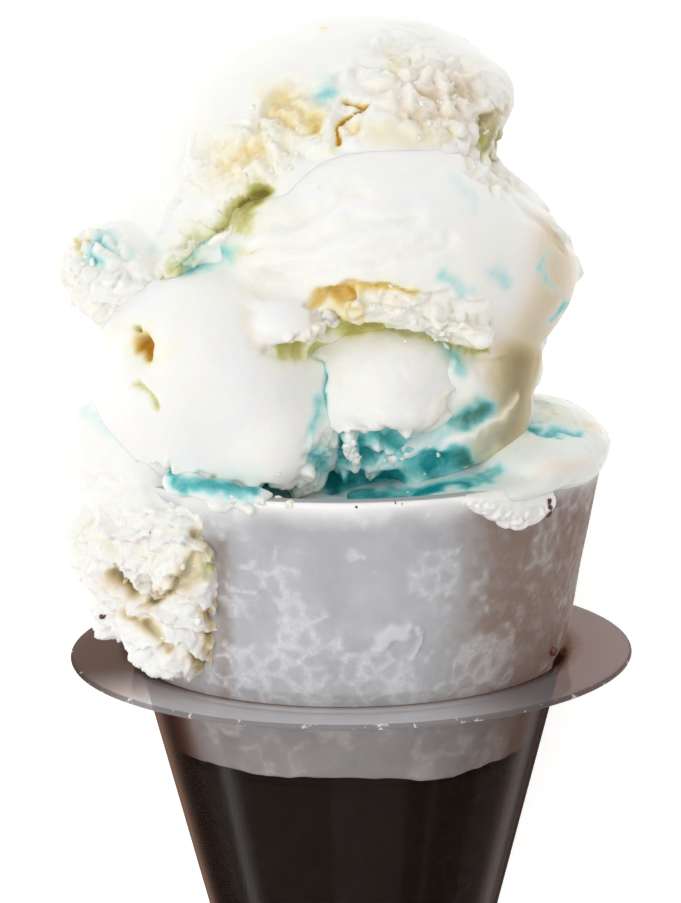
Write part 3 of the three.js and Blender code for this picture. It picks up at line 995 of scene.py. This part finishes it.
# %% Frost, with painted bounce light low down, and a flake
# Just above the flange the frost is made thicker: its pale colour there is partly painted light thrown up by
# the flange.
FROST_AND_BOUNCE_LIGHT_HEIGHT = 3.5  # height of the band with the most frost
patch = wobble(points, 8, 66) + 0.6 * wobble(points, 3.2, 67) + 0.35 * wobble(points, 1.1, 68)
patch = np.clip(patch * 2.6 - 0.2 + 0.9 * falloff(points[:, 2] - FROST_AND_BOUNCE_LIGHT_HEIGHT, 5), 0, 1)
islands = np.clip((curds(drift(points, 2.4, 0.5, 62), 3.4, 63) - 0.3) * 3.5, 0, 1)
veins = np.clip(1 - curds(drift(points, 1.2, 0.4, 64), 2.2, 65) * 3, 0, 1)
side_on = np.clip((np.abs(points[:, 0] + 8) - 14) / 20, 0, 1)
frost_and_bounce_light = patch * (1 - 0.8 * islands) * (0.65 + 0.35 * veins) * (1 - 0.55 * side_on) * outside
FLAKE = [
    ([(4.8, 7.4), (6.2, 8.6), (7.8, 8.2)], 1.0), ([(3.6, 6.2), (5.2, 6.6)], 0.5),
    ([(7.8, 8.4), (8.8, 9.6)], 0.45), ([(9.9, 9.4), (10.5, 7.6), (9.6, 5.6), (8.6, 4.4)], 0.28),
]
spots = on_sheet(drift(points, 1.2, 0.3, 68))
flake = np.max([touch(spots, line, width) for line, width in FLAKE], axis=0)
flake = flake * towards_eye(points, normal) * outside
print("frost covers", round(float(frost_and_bounce_light.mean()), 3))

# %% The washed rim, and painted shade on the right side and beside the spill
wash = np.clip((points[:, 2] - RIM_HEIGHT + 5 + 1.2 * wobble(points, 5, 69)) / 4.6, 0, 1) ** 1.6 * outside
# Painted shade: browner towards the right, with a painted shadow beside the spill, both weaker under the
# flange.
painted_brown_shade = np.clip((points[:, 0] - 10 + 3 * wobble(points, 9, 70)) / 26, 0, 1)
painted_spill_shadow = falloff(spots[:, 0] + 19, 1.6) * np.clip((27 - spots[:, 1]) / 4, 0, 1)  # beside the spill
painted_brown_shade = np.maximum(painted_brown_shade, painted_spill_shadow * 0.34) * outside * np.clip(0.55 + (points[:, 2] + 4) / 8, 0.55, 1)

# %% Raise the coating
height = 0.1 * wobble(points, 7, 71) + 0.09 * frost_and_bounce_light + 0.4 * flake + 0.14 * wash
height = height * outside - 0.12 * outside
slope = (points / np.maximum(radius, 1)[:, None]) * [1, 1, 0]
points = points + normal * height[:, None] + slope * (TAPER * slide)[:, None] + np.outer(slide, [0, 0, 1])
write(dipped_coating, points)
store(dipped_coating, "frost_and_bounce_light", np.stack([frost_and_bounce_light, flake, wash, painted_brown_shade], 1))
print("coating:", len(points), "points")

# %% [markdown]
# ## The cone inside
#
# Under the coating and down in the holder the cone is baked wafer, nearly black. It is turned too,
# then roughened. The larger pores are real dents, because bump alone looks flat where light
# grazes it; the finish adds the fine ones. The recess the scoops sit in is hidden under them.

# %% Wafer cone
INSET = COATING + GAP
WAFER_IN = 0.2
SLOPE = math.degrees(math.atan(TAPER))


def rounded_tip(mouth, tip):
    """The rounded end of a wall whose radius is `mouth` at z = 0, from the axis outwards."""
    centre = -mouth / TAPER + tip / math.sin(math.radians(SLOPE))
    points = arc(0, centre, tip, -90, -SLOPE, 14)
    return [(0, points[0][1])] + points[1:]


rim_top = RIM_HEIGHT - INSET
mouth = RIM_RADIUS - RIM_WALL + INSET
floor_height = RIM_HEIGHT - 7
step_at = COATING_EDGE - 0.9
cone_profile = walked(
    rounded_tip(HOLDER_MOUTH - GAP - WAFER_IN, 6.4)
    + [
        (coating_outer(step_at) - WAFER_IN, step_at),
        (coating_outer(step_at) - INSET, step_at),
        (coating_outer(-SHOULDER) - INSET, -SHOULDER),
        (coating_outer(SHOULDER) - INSET, SHOULDER),
        (RIM_RADIUS - INSET, rim_top),
        (mouth, rim_top),
        (mouth, floor_height),
        (0, floor_height),
    ],
    0.9,
)
wafer_cone = turned("wafer_cone", cone_profile, 180)
points, normal = read(wafer_cone), normals(wafer_cone)
below = np.clip((COATING_EDGE - 1 - points[:, 2]) / 2, 0, 1)
pores = np.clip(-wobble(points, 1.9, 72) * 2.4 - 0.5, 0, 1)
height = below * (0.12 * wobble(points, 8, 73) + 0.08 * wobble(points, 3, 74) - 0.14 * pores) - 0.02
write(wafer_cone, points + normal * height[:, None])
print("wafer cone:", len(points), "points")

# %% [markdown]
# ## The holder
#
# It is a cup blown from thin smoky plastic: the wall runs straight up, curls out at the mouth and ends in a
# flat flange with a small rounded edge. It has a real inside and outside, because the two faces make double
# lines along its edges; the finish adds painted dark lines and glints on the fold and the flange's edge.

# %% Holder
def curl_out(at_mouth, radius, height):
    """Where a straight wall bends out into the flange, at `height`."""
    z = height - radius
    r = at_mouth + TAPER * z + radius * math.hypot(1, TAPER)
    return arc(r, z, radius, 180 - SLOPE, 90, 12)


outer_mouth = HOLDER_MOUTH + HOLDER_WALL * math.hypot(1, TAPER)
holder_outside = rounded_tip(outer_mouth, 7.8) + curl_out(outer_mouth, 2, -1)
holder_edge = arc(FLANGE_RADIUS - 0.45, -0.5, 0.45, -80, 80, 9)
holder_inside = list(reversed(rounded_tip(HOLDER_MOUTH, 7) + curl_out(HOLDER_MOUTH, 3, 0)))
clear_holder = turned("clear_holder", walked(holder_outside + holder_edge + holder_inside, 1.8), 208)

# %% Painted shade on the plastic's sides, and bands of painted reflection
# Painted reflections: the mirror is made stronger in these upright bands round the cup, so that reflections
# show there.
PAINTED_REFLECTION_BANDS = [(-72, 7, 0.9), (-38.5, 2.6, 0.8), (24, 1.0, 0.8), (60, 5, 0.5)]  # azimuth, width, amount
points = read(clear_holder)
azimuth = np.degrees(np.arctan2(points[:, 0], -points[:, 1]))
flange_part = np.clip((np.hypot(points[:, 0], points[:, 1]) - 33.5) / 3, 0, 1) * (points[:, 2] > -1.5)
# Painted shade: the brown tint deepens towards the sides of the cup, most on the left.
begins = np.where(azimuth < 0, 38 + 2 * flange_part, 26 - 13 * flange_part)
smoke_and_side_shade = np.clip((np.abs(azimuth) - begins) / 34, 0, 1)
smoke_and_side_shade = smoke_and_side_shade * smoke_and_side_shade * (3 - 2 * smoke_and_side_shade) * np.where(azimuth < 0, 1.0, 0.35 + 0.3 * flange_part)
mirror_bands = np.full(len(points), 0.07)
for at, width, amount in PAINTED_REFLECTION_BANDS:
    mirror_bands += amount * falloff(azimuth - at, width)
mirror_bands = np.maximum(mirror_bands, flange_part)
store(clear_holder, "smoke_and_side_shade", np.stack([smoke_and_side_shade, flange_part, mirror_bands, np.ones(len(points))], 1))
print("holder:", len(points), "points")

# %% [markdown]
# ## Crumbs and flakes
#
# Where ice cream tears it leaves crumbs. Each is a small lump pulled about by noise, pressed
# halfway into the surface. All are strewn from a fixed seed, some tightly where they show and the
# rest along the torn places. Particles could strew them, but crumbs that are mesh from the start
# stay with the model. The white ones are one mesh, and the brown wafer crumbs another.

# %% Find the surface behind a spot on the sheet
LANDINGS = [
    top_scoop, middle_scoop, bottom_scoop, spill_lump, melt_pool, set_drip, dipped_coating, clear_holder,
]


def seen_at(spot):
    """The nearest point and its normal on the line from the eye through a spot on the sheet."""
    start, through = (Vector(p) for p in laid([EYE, [spot[0], SHEET_Y, spot[1]]]))
    casts = [piece.ray_cast(start, (through - start).normalized()) for piece in LANDINGS]
    found = [(float((place - start).length), place, normal) for hit, place, normal, _ in casts if hit]
    if not found:
        return None, None
    _, place, normal = min(found, key=lambda one: one[0])
    return np.array(place), np.array(normal)


def lump(centre, normal, size, seed, flat=0.7):
    """One crumb: a small ball pulled out of round, in metres."""
    ball = bmesh.new()
    bmesh.ops.create_icosphere(ball, subdivisions=3, radius=1)
    d = np.array([v.co[:] for v in ball.verts])
    faces = np.array([[v.index for v in f.verts] for f in ball.faces])
    ball.free()
    rng = np.random.default_rng(seed)
    stretch = rng.uniform(0.65, 1.35, 3)
    chips = rng.normal(size=(9, 3))
    chips /= np.linalg.norm(chips, axis=1)[:, None]
    reach = np.min(0.72 / np.maximum(d @ chips.T, 0.72), axis=1)  # flat broken faces
    d = d * (reach * (1 + 0.3 * wobble(d, 0.9, seed) + 0.12 * wobble(d, 0.35, seed + 1)))[:, None]
    d = d * stretch
    along = (d @ normal)[:, None] * normal
    return centre + size * MM * (d - along * (1 - flat)), faces


# %% Make the crumbs
def make_crumbs(name, places, seed):
    """places: (spot, spread, count, smallest, largest)."""
    rng = np.random.default_rng(seed)
    points, faces, total = [], [], 0
    for spot, spread, count, small, large in places:
        for _ in range(count):
            aim = np.array(spot) + rng.normal(0, 1, 2) * spread
            size = small + (large - small) * rng.random() ** 2
            place, normal = seen_at(aim)
            if place is None:
                continue
            p, f = lump(place + normal * size * MM * 0.1, normal, size, int(rng.integers(1000)))
            points.append(p)
            faces.append(f + total)
            total += len(p)
    made = new_object(name, np.concatenate(points), np.concatenate(faces))
    made.data.shade_smooth()
    store(made, "streaks_and_shade", np.zeros((total, 4)))
    store(made, "torn", np.tile([0.6, 0.3, 1.0, 0.5], (total, 1)))
    print(name, len(points), "crumbs")
    return made


white_crumbs = make_crumbs(
    "white_crumbs",
    [
        ((-2.9, 55.7), 0.5, 5, 0.7, 1.4), ((14.4, 53.6), 0.8, 8, 0.4, 0.9), ((8, 55.4), 2.6, 9, 0.25, 0.6),
        ((-17, 28.6), 0.8, 4, 0.25, 0.5), ((0.6, 36.6), 1.0, 8, 0.4, 0.8), ((8, 36), 4.0, 10, 0.2, 0.4),
        ((-10, 80), 4.0, 14, 0.25, 0.6), ((14, 87), 3.0, 12, 0.25, 0.6), ((-37, 62), 3.0, 10, 0.25, 0.6),
        ((-30, 20), 3.4, 16, 0.25, 0.7), ((-26, 10), 2.2, 9, 0.25, 0.7), ((-9, 31.6), 2.0, 5, 0.25, 0.5),
    ],
    7,
)
brown_crumbs = make_crumbs(
    "brown_crumbs",
    [
        ((29.8, 5.5), 0.15, 3, 0.5, 0.9), ((31.6, 5.6), 0.1, 1, 0.4, 0.5), ((29.3, 28.2), 0.12, 3, 0.3, 0.5),
        ((29.5, 27.3), 0.12, 3, 0.3, 0.5), ((29.2, 26.3), 0.12, 3, 0.3, 0.5),
        ((1.0, 27.6), 0.05, 1, 0.25, 0.3), ((7.2, 28.6), 0.5, 3, 0.15, 0.25),
        ((-37, 11.4), 0.2, 2, 0.3, 0.45),
    ],
    9,
)

# %% [markdown]
# ## Finishes
#
# Each finish is a small node tree. Painted images could do the same, but nodes stay crisp however
# near the eye comes. Colours are written as a screen would show them and turned into light
# values by one helper, which makes them easy to compare with real samples.

# %% Node helpers
def paint(r, g, b):
    """A screen colour, 0 to 255, as linear light."""
    parts = [c / 255 for c in (r, g, b)]
    return tuple(c / 12.92 if c < 0.0405 else ((c + 0.055) / 1.055) ** 2.4 for c in parts) + (1,)


class Finish:
    """A material and short ways to add nodes to it."""

    def __init__(self, name):
        self.material = bpy.data.materials.new(name)
        self.material.use_nodes = True
        self.tree = self.material.node_tree
        self.tree.nodes.clear()

    def add(self, kind, inputs=None, **settings):
        """A new node; an input that comes from another node is linked, any other is set."""
        node = self.tree.nodes.new("ShaderNode" + kind)
        for key, value in settings.items():
            setattr(node, key, value)
        for key, value in (inputs or {}).items():
            if isinstance(value, bpy.types.NodeSocket):
                self.tree.links.new(value, node.inputs[key])
            else:
                node.inputs[key].default_value = value
        return node

    def noise(self, size, detail=2.0, rough=0.5, distort=0.0):
        """Noise whose swells are about `size` millimetres across."""
        place = self.add("TexCoord").outputs["Object"]
        inputs = {"Vector": place, "Scale": 1 / (size * MM), "Detail": detail, "Roughness": rough}
        inputs["Distortion"] = distort
        return self.add("TexNoise", inputs).outputs["Fac"]

    def maths(self, what, a, b=0.0, clamp=False):
        return self.add("Math", {0: a, 1: b}, operation=what, use_clamp=clamp).outputs[0]

    def spread(self, value, low, high, to_low=0.0, to_high=1.0):
        """The value from low to high, stretched to another range."""
        inputs = {"Value": value, "From Min": low, "From Max": high, "To Min": to_low, "To Max": to_high}
        return self.add("MapRange", inputs).outputs["Result"]

    def mix(self, share, a, b):
        node = self.add("Mix", {0: share, 6: a, 7: b}, data_type="RGBA")
        return node.outputs[2]

    def ramp(self, value, stops):
        node = self.add("ValToRGB", {"Fac": value})
        elements = node.color_ramp.elements
        while len(elements) < len(stops):
            elements.new(0.5)
        for element, (at, colour) in zip(elements, stops):
            element.position = at
            element.color = colour
        return node.outputs["Color"]

    def stored(self, name):
        """The four numbers kept on the mesh, as separate values."""
        node = self.add("Attribute", attribute_name=name)
        parts = self.add("SeparateColor", {"Color": node.outputs["Color"]})
        return [parts.outputs[i] for i in range(3)] + [node.outputs["Alpha"]]

    def show(self, shader):
        out = self.add("OutputMaterial")
        self.tree.links.new(shader, out.inputs["Surface"])
        return self.material


# %% [markdown]
# ## Ice cream
#
# Light sinks a millimetre or so into ice cream and comes out softened, so the shader scatters it under the
# surface; without that it would look like plaster. The syrups and the painted shade come from the stored
# numbers, broken up by noise so that their edges bleed: blue goes to deep teal where it is thick, gold to
# amber, olive to moss, the tan painted shade to a dark brown, and painted tan shade under blue to a painted
# dark green shade. In torn places syrup and painted shade gather in the hollows, which paints shade into
# them. Torn places are rougher than the skin, and creamier, partly as painted shade in their hollows.

# %% Ice cream finish
# The tan colours are painted shade, the olive ones partly; the others are syrups.
SHADES = {  # how much counts as thick, then the colour from a trace to a pool of it
    "tan_shade": (0.7, (248, 245, 239), (240, 228, 213), (204, 187, 144), (150, 131, 80)),
    "gold": (0.7, (250, 247, 235), (245, 232, 194), (229, 204, 126), (205, 156, 38)),
    "olive_and_shade": (0.7, (241, 242, 226), (218, 216, 160), (184, 178, 98), (132, 124, 54)),
    "blue": (0.65, (232, 245, 244), (172, 224, 224), (98, 190, 192), (8, 144, 150)),
}


def ice_cream(name, white, cream, skin_gloss, sink, grainy=0.35):
    """skin_gloss: roughness of the smooth skin.  sink: how far light sinks in, in millimetres."""
    f = Finish(name)
    held = dict(zip(SYRUPS_AND_SHADE, f.stored("streaks_and_shade")))
    tear, hollow, _, cream_share = f.stored("torn")
    # Syrup and painted shade grow in torn hollows and fade on the tops: painted shade in the hollows.
    sunk = f.maths("ADD", f.maths("MULTIPLY", tear, f.spread(hollow, 0.25, 0.75, -0.85, 0.6)), 1.0)
    blotch = f.spread(f.noise(3.4, 3, 0.5), 0.3, 0.7, 0.6, 1.1)
    fleck = f.spread(f.noise(0.7, 3, 0.6), 0.3, 0.7, 0.0, 0.2)
    uneven = f.maths("ADD", blotch, fleck)
    for syrup_and_shade in ("gold", "olive_and_shade", "blue"):
        held[syrup_and_shade] = f.maths("MULTIPLY", held[syrup_and_shade], uneven)

    base = f.mix(f.spread(f.noise(9, 3, 0.5), 0.3, 0.7), white, cream)
    # Torn hollows turn a deeper cream, partly the ice cream's own colour and partly painted shade.
    creamed_and_shaded = f.maths("MULTIPLY", f.maths("MULTIPLY", tear, cream_share), f.spread(hollow, 0.25, 1.0))
    base = f.mix(creamed_and_shaded, base, paint(246, 238, 218))
    for syrup_and_shade, (thick_at, *shades) in SHADES.items():
        held[syrup_and_shade] = f.maths("MULTIPLY", held[syrup_and_shade], sunk, clamp=True)
        stops = [(at, paint(*shade)) for at, shade in zip((0.0, 0.35, thick_at, 1.0), shades)]
        base = f.mix(f.spread(held[syrup_and_shade], 0, 0.4), base, f.ramp(held[syrup_and_shade], stops))
    # Where tan painted shade lies under blue it turns to a painted dark green shade.
    painted_green_shade = f.maths("MULTIPLY", held["tan_shade"], held["blue"], clamp=True)
    base = f.mix(f.spread(painted_green_shade, 0.1, 0.8), base, paint(76, 122, 104))

    gloss = f.spread(f.noise(1.6, 3), 0.3, 0.7, skin_gloss, skin_gloss + 0.2)
    rough = f.add("Mix", {0: tear, 2: gloss, 3: 0.72}, data_type="FLOAT").outputs[0]
    grain = f.maths("ADD", f.noise(0.35, 3, 0.65), f.maths("MULTIPLY", f.noise(1.3, 3), 1.2))
    bump = f.add("Bump", {"Height": grain, "Strength": grainy, "Distance": 0.12 * MM})
    skin = f.add("BsdfPrincipled", {
        "Base Color": base, "Roughness": rough, "IOR": 1.38, "Normal": bump.outputs[0],
        "Subsurface Weight": 1.0, "Subsurface Radius": (1.0, 0.85, 0.65), "Subsurface Scale": sink * MM,
    })
    print("finish:", name)
    return f.show(skin.outputs[0])


frozen = ice_cream("ice cream", paint(250, 249, 247), paint(247, 245, 239), 0.42, 0.3)
melted = ice_cream("melted ice cream", paint(240, 242, 239), paint(230, 233, 228), 0.25, 0.3, 0.1)
crumbly = ice_cream("ice cream crumbs", paint(249, 247, 242), paint(247, 243, 232), 0.6, 0.12)

# %% [markdown]
# ## Coating and wafer
#
# The coating is a dull grey, with painted shade that turns it browner towards the right and beside the
# spill. The stored numbers lay the frost, the flake and the washed rim over it, exactly where the relief has
# them, and the painted shade too. The wafer is baked nearly black and hardly shines. Neither lets light in,
# so plain surfaces are enough for both.

# %% Coating finish
f = Finish("frosted coating")
frost_and_bounce_light_on, flake_on, wash_on, painted_brown_shade_on = f.stored("frost_and_bounce_light")
cloud = f.spread(f.noise(9, 4, 0.55, 0.3), 0.3, 0.7)
base = f.mix(cloud, paint(173, 174, 178), paint(189, 190, 194))
base = f.mix(f.spread(f.noise(3, 4, 0.6), 0.5, 0.75, 0, 0.4), base, paint(199, 201, 206))
# Painted shade: brown towards the right and beside the spill, broken into streaks.
broken_up = f.spread(f.noise(2.4, 4, 0.6), 0.3, 0.7, -0.25, 0.2)
streaky = f.maths("ADD", f.spread(painted_brown_shade_on, 0.0, 0.45), broken_up, clamp=True)
streaky = f.maths("MULTIPLY", streaky, f.spread(painted_brown_shade_on, 0.0, 0.1), clamp=True)
base = f.mix(streaky, base, f.ramp(painted_brown_shade_on, [
    (0.0, paint(168, 163, 161)), (0.5, paint(140, 121, 111)), (1.0, paint(116, 83, 67)),
]))
# Frost, thicker low down as painted bounce light from the flange.
frost_and_bounce_light_now = f.maths("MULTIPLY", frost_and_bounce_light_on, f.spread(f.noise(0.7, 3, 0.6), 0.3, 0.6, 0.45, 1.0))
base = f.mix(f.maths("MULTIPLY", frost_and_bounce_light_now, 0.8), base, paint(228, 229, 233))
speck = f.spread(f.noise(0.6, 3, 0.7), 0.6, 0.7)
base = f.mix(f.maths("MULTIPLY", speck, f.maths("MULTIPLY", frost_and_bounce_light_on, 0.7)), base, paint(240, 241, 244))
base = f.mix(f.maths("MULTIPLY", flake_on, 0.75), base, paint(218, 219, 222))
base = f.mix(wash_on, base, paint(252, 252, 251))
bump = f.add("Bump", {
    "Height": f.maths("ADD", f.noise(0.4, 4, 0.7), f.maths("MULTIPLY", f.noise(2.2, 4), 1.5)),
    "Strength": 0.4, "Distance": 0.1 * MM,
})
skin = f.add("BsdfPrincipled", {
    "Base Color": base, "Roughness": f.spread(f.noise(1.5, 3), 0.3, 0.7, 0.38, 0.6), "IOR": 1.45,
    "Normal": bump.outputs[0], "Specular IOR Level": 0.3,
})
coated = f.show(skin.outputs[0])
print("finish:", coated.name)

# %% Wafer finish
f = Finish("dark wafer")
base = f.mix(f.spread(f.noise(6, 4), 0.3, 0.7), paint(14, 9, 7), paint(23, 16, 12))
base = f.mix(f.spread(f.noise(0.6, 3, 0.7), 0.6, 0.75, 0, 0.4), base, paint(42, 30, 25))
bump = f.add("Bump", {"Height": f.noise(0.5, 4, 0.7), "Strength": 0.6, "Distance": 0.12 * MM})
skin = f.add("BsdfPrincipled", {
    "Base Color": base, "Roughness": f.spread(f.noise(1.1, 3), 0.3, 0.7, 0.55, 0.8),
    "Normal": bump.outputs[0], "Specular IOR Level": 0.12,
})
wafer = f.show(skin.outputs[0])
print("finish:", wafer.name)

# %% Wafer crumb finish
f = Finish("wafer crumbs")
base = f.mix(f.spread(f.noise(0.5, 3), 0.35, 0.65), paint(70, 36, 28), paint(132, 74, 54))
bump = f.add("Bump", {"Height": f.noise(0.25, 3), "Strength": 0.5, "Distance": 0.05 * MM})
skin = f.add("BsdfPrincipled", {"Base Color": base, "Roughness": 0.6, "Normal": bump.outputs[0]})
crumbed = f.show(skin.outputs[0])
print("finish:", crumbed.name)

# %% [markdown]
# ## Smoky clear plastic
#
# The wall is far too thin to bend what is behind it, so it doesn't need true glass, which would leave the
# cone inside it in the dark. Clear light goes straight through with a brown tint, which is painted shade
# that deepens towards the sides, and a mirror image that grows towards the edges is laid over it, made
# stronger in a few upright bands as painted reflections and browned where the painted shade is. Haze and
# scratches sit on top.

# %% Plastic finish
f = Finish("smoky plastic")
smoke_and_side_shade_on, flange_on, mirror_bands_on, _ = f.stored("smoke_and_side_shade")
facing = f.add("LayerWeight", {"Blend": 0.5}).outputs["Facing"]
edge_on = f.maths("MULTIPLY", f.maths("SUBTRACT", 1.0, flange_on), f.spread(facing, 0.5, 0.95))
# The tint follows the smoke and the painted side shade.
amount = f.maths("MULTIPLY", smoke_and_side_shade_on, f.spread(flange_on, 0.0, 1.0, 0.25, 1.0))
amount = f.maths("ADD", amount, f.spread(flange_on, 0.0, 1.0, 0.1, 0.0))
tint = f.ramp(f.maths("ADD", amount, edge_on, clamp=True), [
    (0.0, paint(252, 251, 251)), (0.12, paint(239, 237, 236)), (0.5, paint(188, 162, 150)),
    (1.0, paint(84, 54, 42)),
])
through = f.add("BsdfTransparent", {"Color": tint})
# The mirror image is browned where the painted side shade is: a painted reflection colour.
mirror = f.add("BsdfGlossy", {
    "Color": f.mix(smoke_and_side_shade_on, (0.95, 0.94, 0.94, 1), paint(168, 132, 114)),
    "Roughness": f.spread(f.noise(4, 3), 0.3, 0.7, 0.04, 0.12),
})
grazing = f.spread(f.maths("POWER", facing, 5.0), 0.0, 1.0, 0.035, 0.8)
clear = f.add("MixShader", {
    0: f.maths("MULTIPLY", grazing, mirror_bands_on), 1: through.outputs[0], 2: mirror.outputs[0],
})
haze = f.add("BsdfDiffuse", {"Color": f.mix(flange_on, paint(176, 142, 122), paint(222, 222, 226))})
scratch = f.spread(f.noise(0.9, 5, 0.75, 1.5), 0.62, 0.7, 0.008, 0.05)
cloudy = f.maths("MULTIPLY", flange_on, f.spread(smoke_and_side_shade_on, 0.0, 1.0, 0.4, 0.04))
hazy = f.add("MixShader", {0: f.maths("ADD", scratch, cloudy), 1: clear.outputs[0], 2: haze.outputs[0]})

# %% Painted shade and glints: thin dark lines on the fold and the edge of the flange, flecked with painted white glints
place = f.add("TexCoord").outputs["Object"]
place = f.add("VectorMath", {0: place, 1: (AXIS_X, 0, AXIS_Z)}, operation="SUBTRACT").outputs[0]
place = f.add("VectorMath", {0: place, 1: (1, 0, 1)}, operation="MULTIPLY").outputs[0]
from_axis = f.add("VectorMath", {0: place}, operation="LENGTH").outputs["Value"]
FOLD_RADIUS = 34.4 * MM
off_fold = f.maths("ABSOLUTE", f.maths("SUBTRACT", from_axis, FOLD_RADIUS))
line = f.maths(
    "ADD",
    f.spread(off_fold, 0.08 * MM, 0.26 * MM, 0.6, 0.0),
    f.spread(from_axis, (FLANGE_RADIUS - 0.5) * MM, (FLANGE_RADIUS - 0.2) * MM, 0.0, 0.55),
)
painted_glint = f.spread(f.noise(1.6, 3, 0.6), 0.6, 0.66)
dark = f.add("BsdfDiffuse", {"Color": f.mix(painted_glint, paint(66, 58, 56), paint(236, 234, 232))})
lined = f.add("MixShader", {0: f.maths("MULTIPLY", line, flange_on), 1: hazy.outputs[0], 2: dark.outputs[0]})
plastic = f.show(lined.outputs[0])
print("finish:", plastic.name)

# %% [markdown]
# ## Put every piece on the frame
#
# Each piece moves with the frame's one body, stands for its solid and takes its finish. The drip and the
# crumbs have no solid of their own: they sit on others.

# %% Assign
for piece, node, slot, finish in (
    (top_scoop, "scoop_top", "ice_cream", frozen),
    (middle_scoop, "scoop_middle", "ice_cream", frozen),
    (bottom_scoop, "scoop_bottom", "ice_cream", frozen),
    (spill_lump, "spill", "ice_cream", frozen),
    (melt_pool, "melt", "melted_ice_cream", melted),
    (set_drip, None, "melted_ice_cream", frozen),
    (dipped_coating, "coating", "coating", coated),
    (wafer_cone, "cone", "cone", wafer),
    (clear_holder, "holder", "holder", plastic),
    (white_crumbs, None, "ice_cream", crumbly),
    (brown_crumbs, None, "cone", crumbed),
):
    piece.data.materials.clear()
    piece.data.materials.append(finish)
    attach(piece, "root")
    if node:
        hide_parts(node)

# %% [markdown]
# ## Floor and light
#
# It lies on a pale table lit a little from inside, so that its shadow stays light. The main light
# is a big soft panel at the upper left. Two weaker panels, at the right and beyond the foot, keep
# the white from going grey, and a thin strip at the left gives the holder something to mirror.
# The sky is bright except towards the lower right, which is dim and brown: the holder mirrors that side,
# which together with the painted shade in its tint makes it look dark.

# %% Floor
bpy.ops.mesh.primitive_grid_add(size=4, x_subdivisions=40, y_subdivisions=40, location=(0, 0, 0))
floor = bpy.context.object
floor.name = "floor"
f = Finish("pale floor")
base = f.mix(f.spread(f.noise(60, 3), 0.3, 0.7), paint(251, 251, 251), paint(254, 254, 254))
table = f.add("BsdfPrincipled", {
    "Base Color": base, "Roughness": 0.9, "Emission Color": base, "Emission Strength": 0.5,
})
floor.data.materials.append(f.show(table.outputs[0]))
print("floor:", [round(v, 2) for v in floor.dimensions], "m")


# %% Lights
def area_light(name, place, size, watts, colour, aim=(0, 0.02, 0.04)):
    light = bpy.data.lights.new(name, "AREA")
    light.shape = "RECTANGLE"
    light.size, light.size_y = size
    light.energy = watts
    light.color = colour
    lamp = bpy.data.objects.new(name, light)
    lamp.location = place
    lamp.rotation_euler = (Vector(aim) - Vector(place)).to_track_quat("-Z", "Y").to_euler()
    bpy.context.scene.collection.objects.link(lamp)
    print("light:", name, watts, "W")


area_light("key", (-0.6, 0.35, 1.25), (1.3, 1.3), 7.4, (1.0, 0.99, 0.98))
area_light("fill", (0.6, 0.1, 1.3), (0.9, 0.9), 1.8, (1.0, 0.98, 0.97))
area_light("low", (0.15, -0.8, 1.1), (0.9, 0.9), 2.8, (1.0, 0.98, 0.97))
area_light("left strip", (-0.75, -0.55, 0.6), (0.15, 0.5), 0.8, (1.0, 0.97, 0.94))

# %% Sky
world = bpy.data.worlds.new("soft sky")
bpy.context.scene.world = world
world.use_nodes = True
tree = world.node_tree
tree.nodes.clear()
place = tree.nodes.new("ShaderNodeTexCoord").outputs["Generated"]
across = tree.nodes.new("ShaderNodeVectorMath")
across.operation = "DOT_PRODUCT"
across.inputs[1].default_value = (0.55, -0.83, -0.1)
tree.links.new(place, across.inputs[0])
ramp = tree.nodes.new("ShaderNodeValToRGB")
tree.links.new(across.outputs["Value"], ramp.inputs["Fac"])
ramp.color_ramp.elements[0].position = 0.25
ramp.color_ramp.elements[0].color = (1.0, 1.0, 1.0, 1)
ramp.color_ramp.elements[1].position = 0.6
ramp.color_ramp.elements[1].color = (0.2, 0.17, 0.15, 1)
sky = tree.nodes.new("ShaderNodeBackground")
sky.inputs["Strength"].default_value = 0.58
tree.links.new(ramp.outputs["Color"], sky.inputs["Color"])
out = tree.nodes.new("ShaderNodeOutputWorld")
tree.links.new(sky.outputs[0], out.inputs[0])

# %% Show the colours as they are
scene = bpy.context.scene
scene.view_settings.view_transform = "Standard"
scene.view_settings.look = "None"
scene.view_settings.exposure = 0
scene.cycles.transparent_max_bounces = 24

# %% Size of the finished model
print("solids box:", [[round(v, 5) for v in c] for c in cad_bounds])
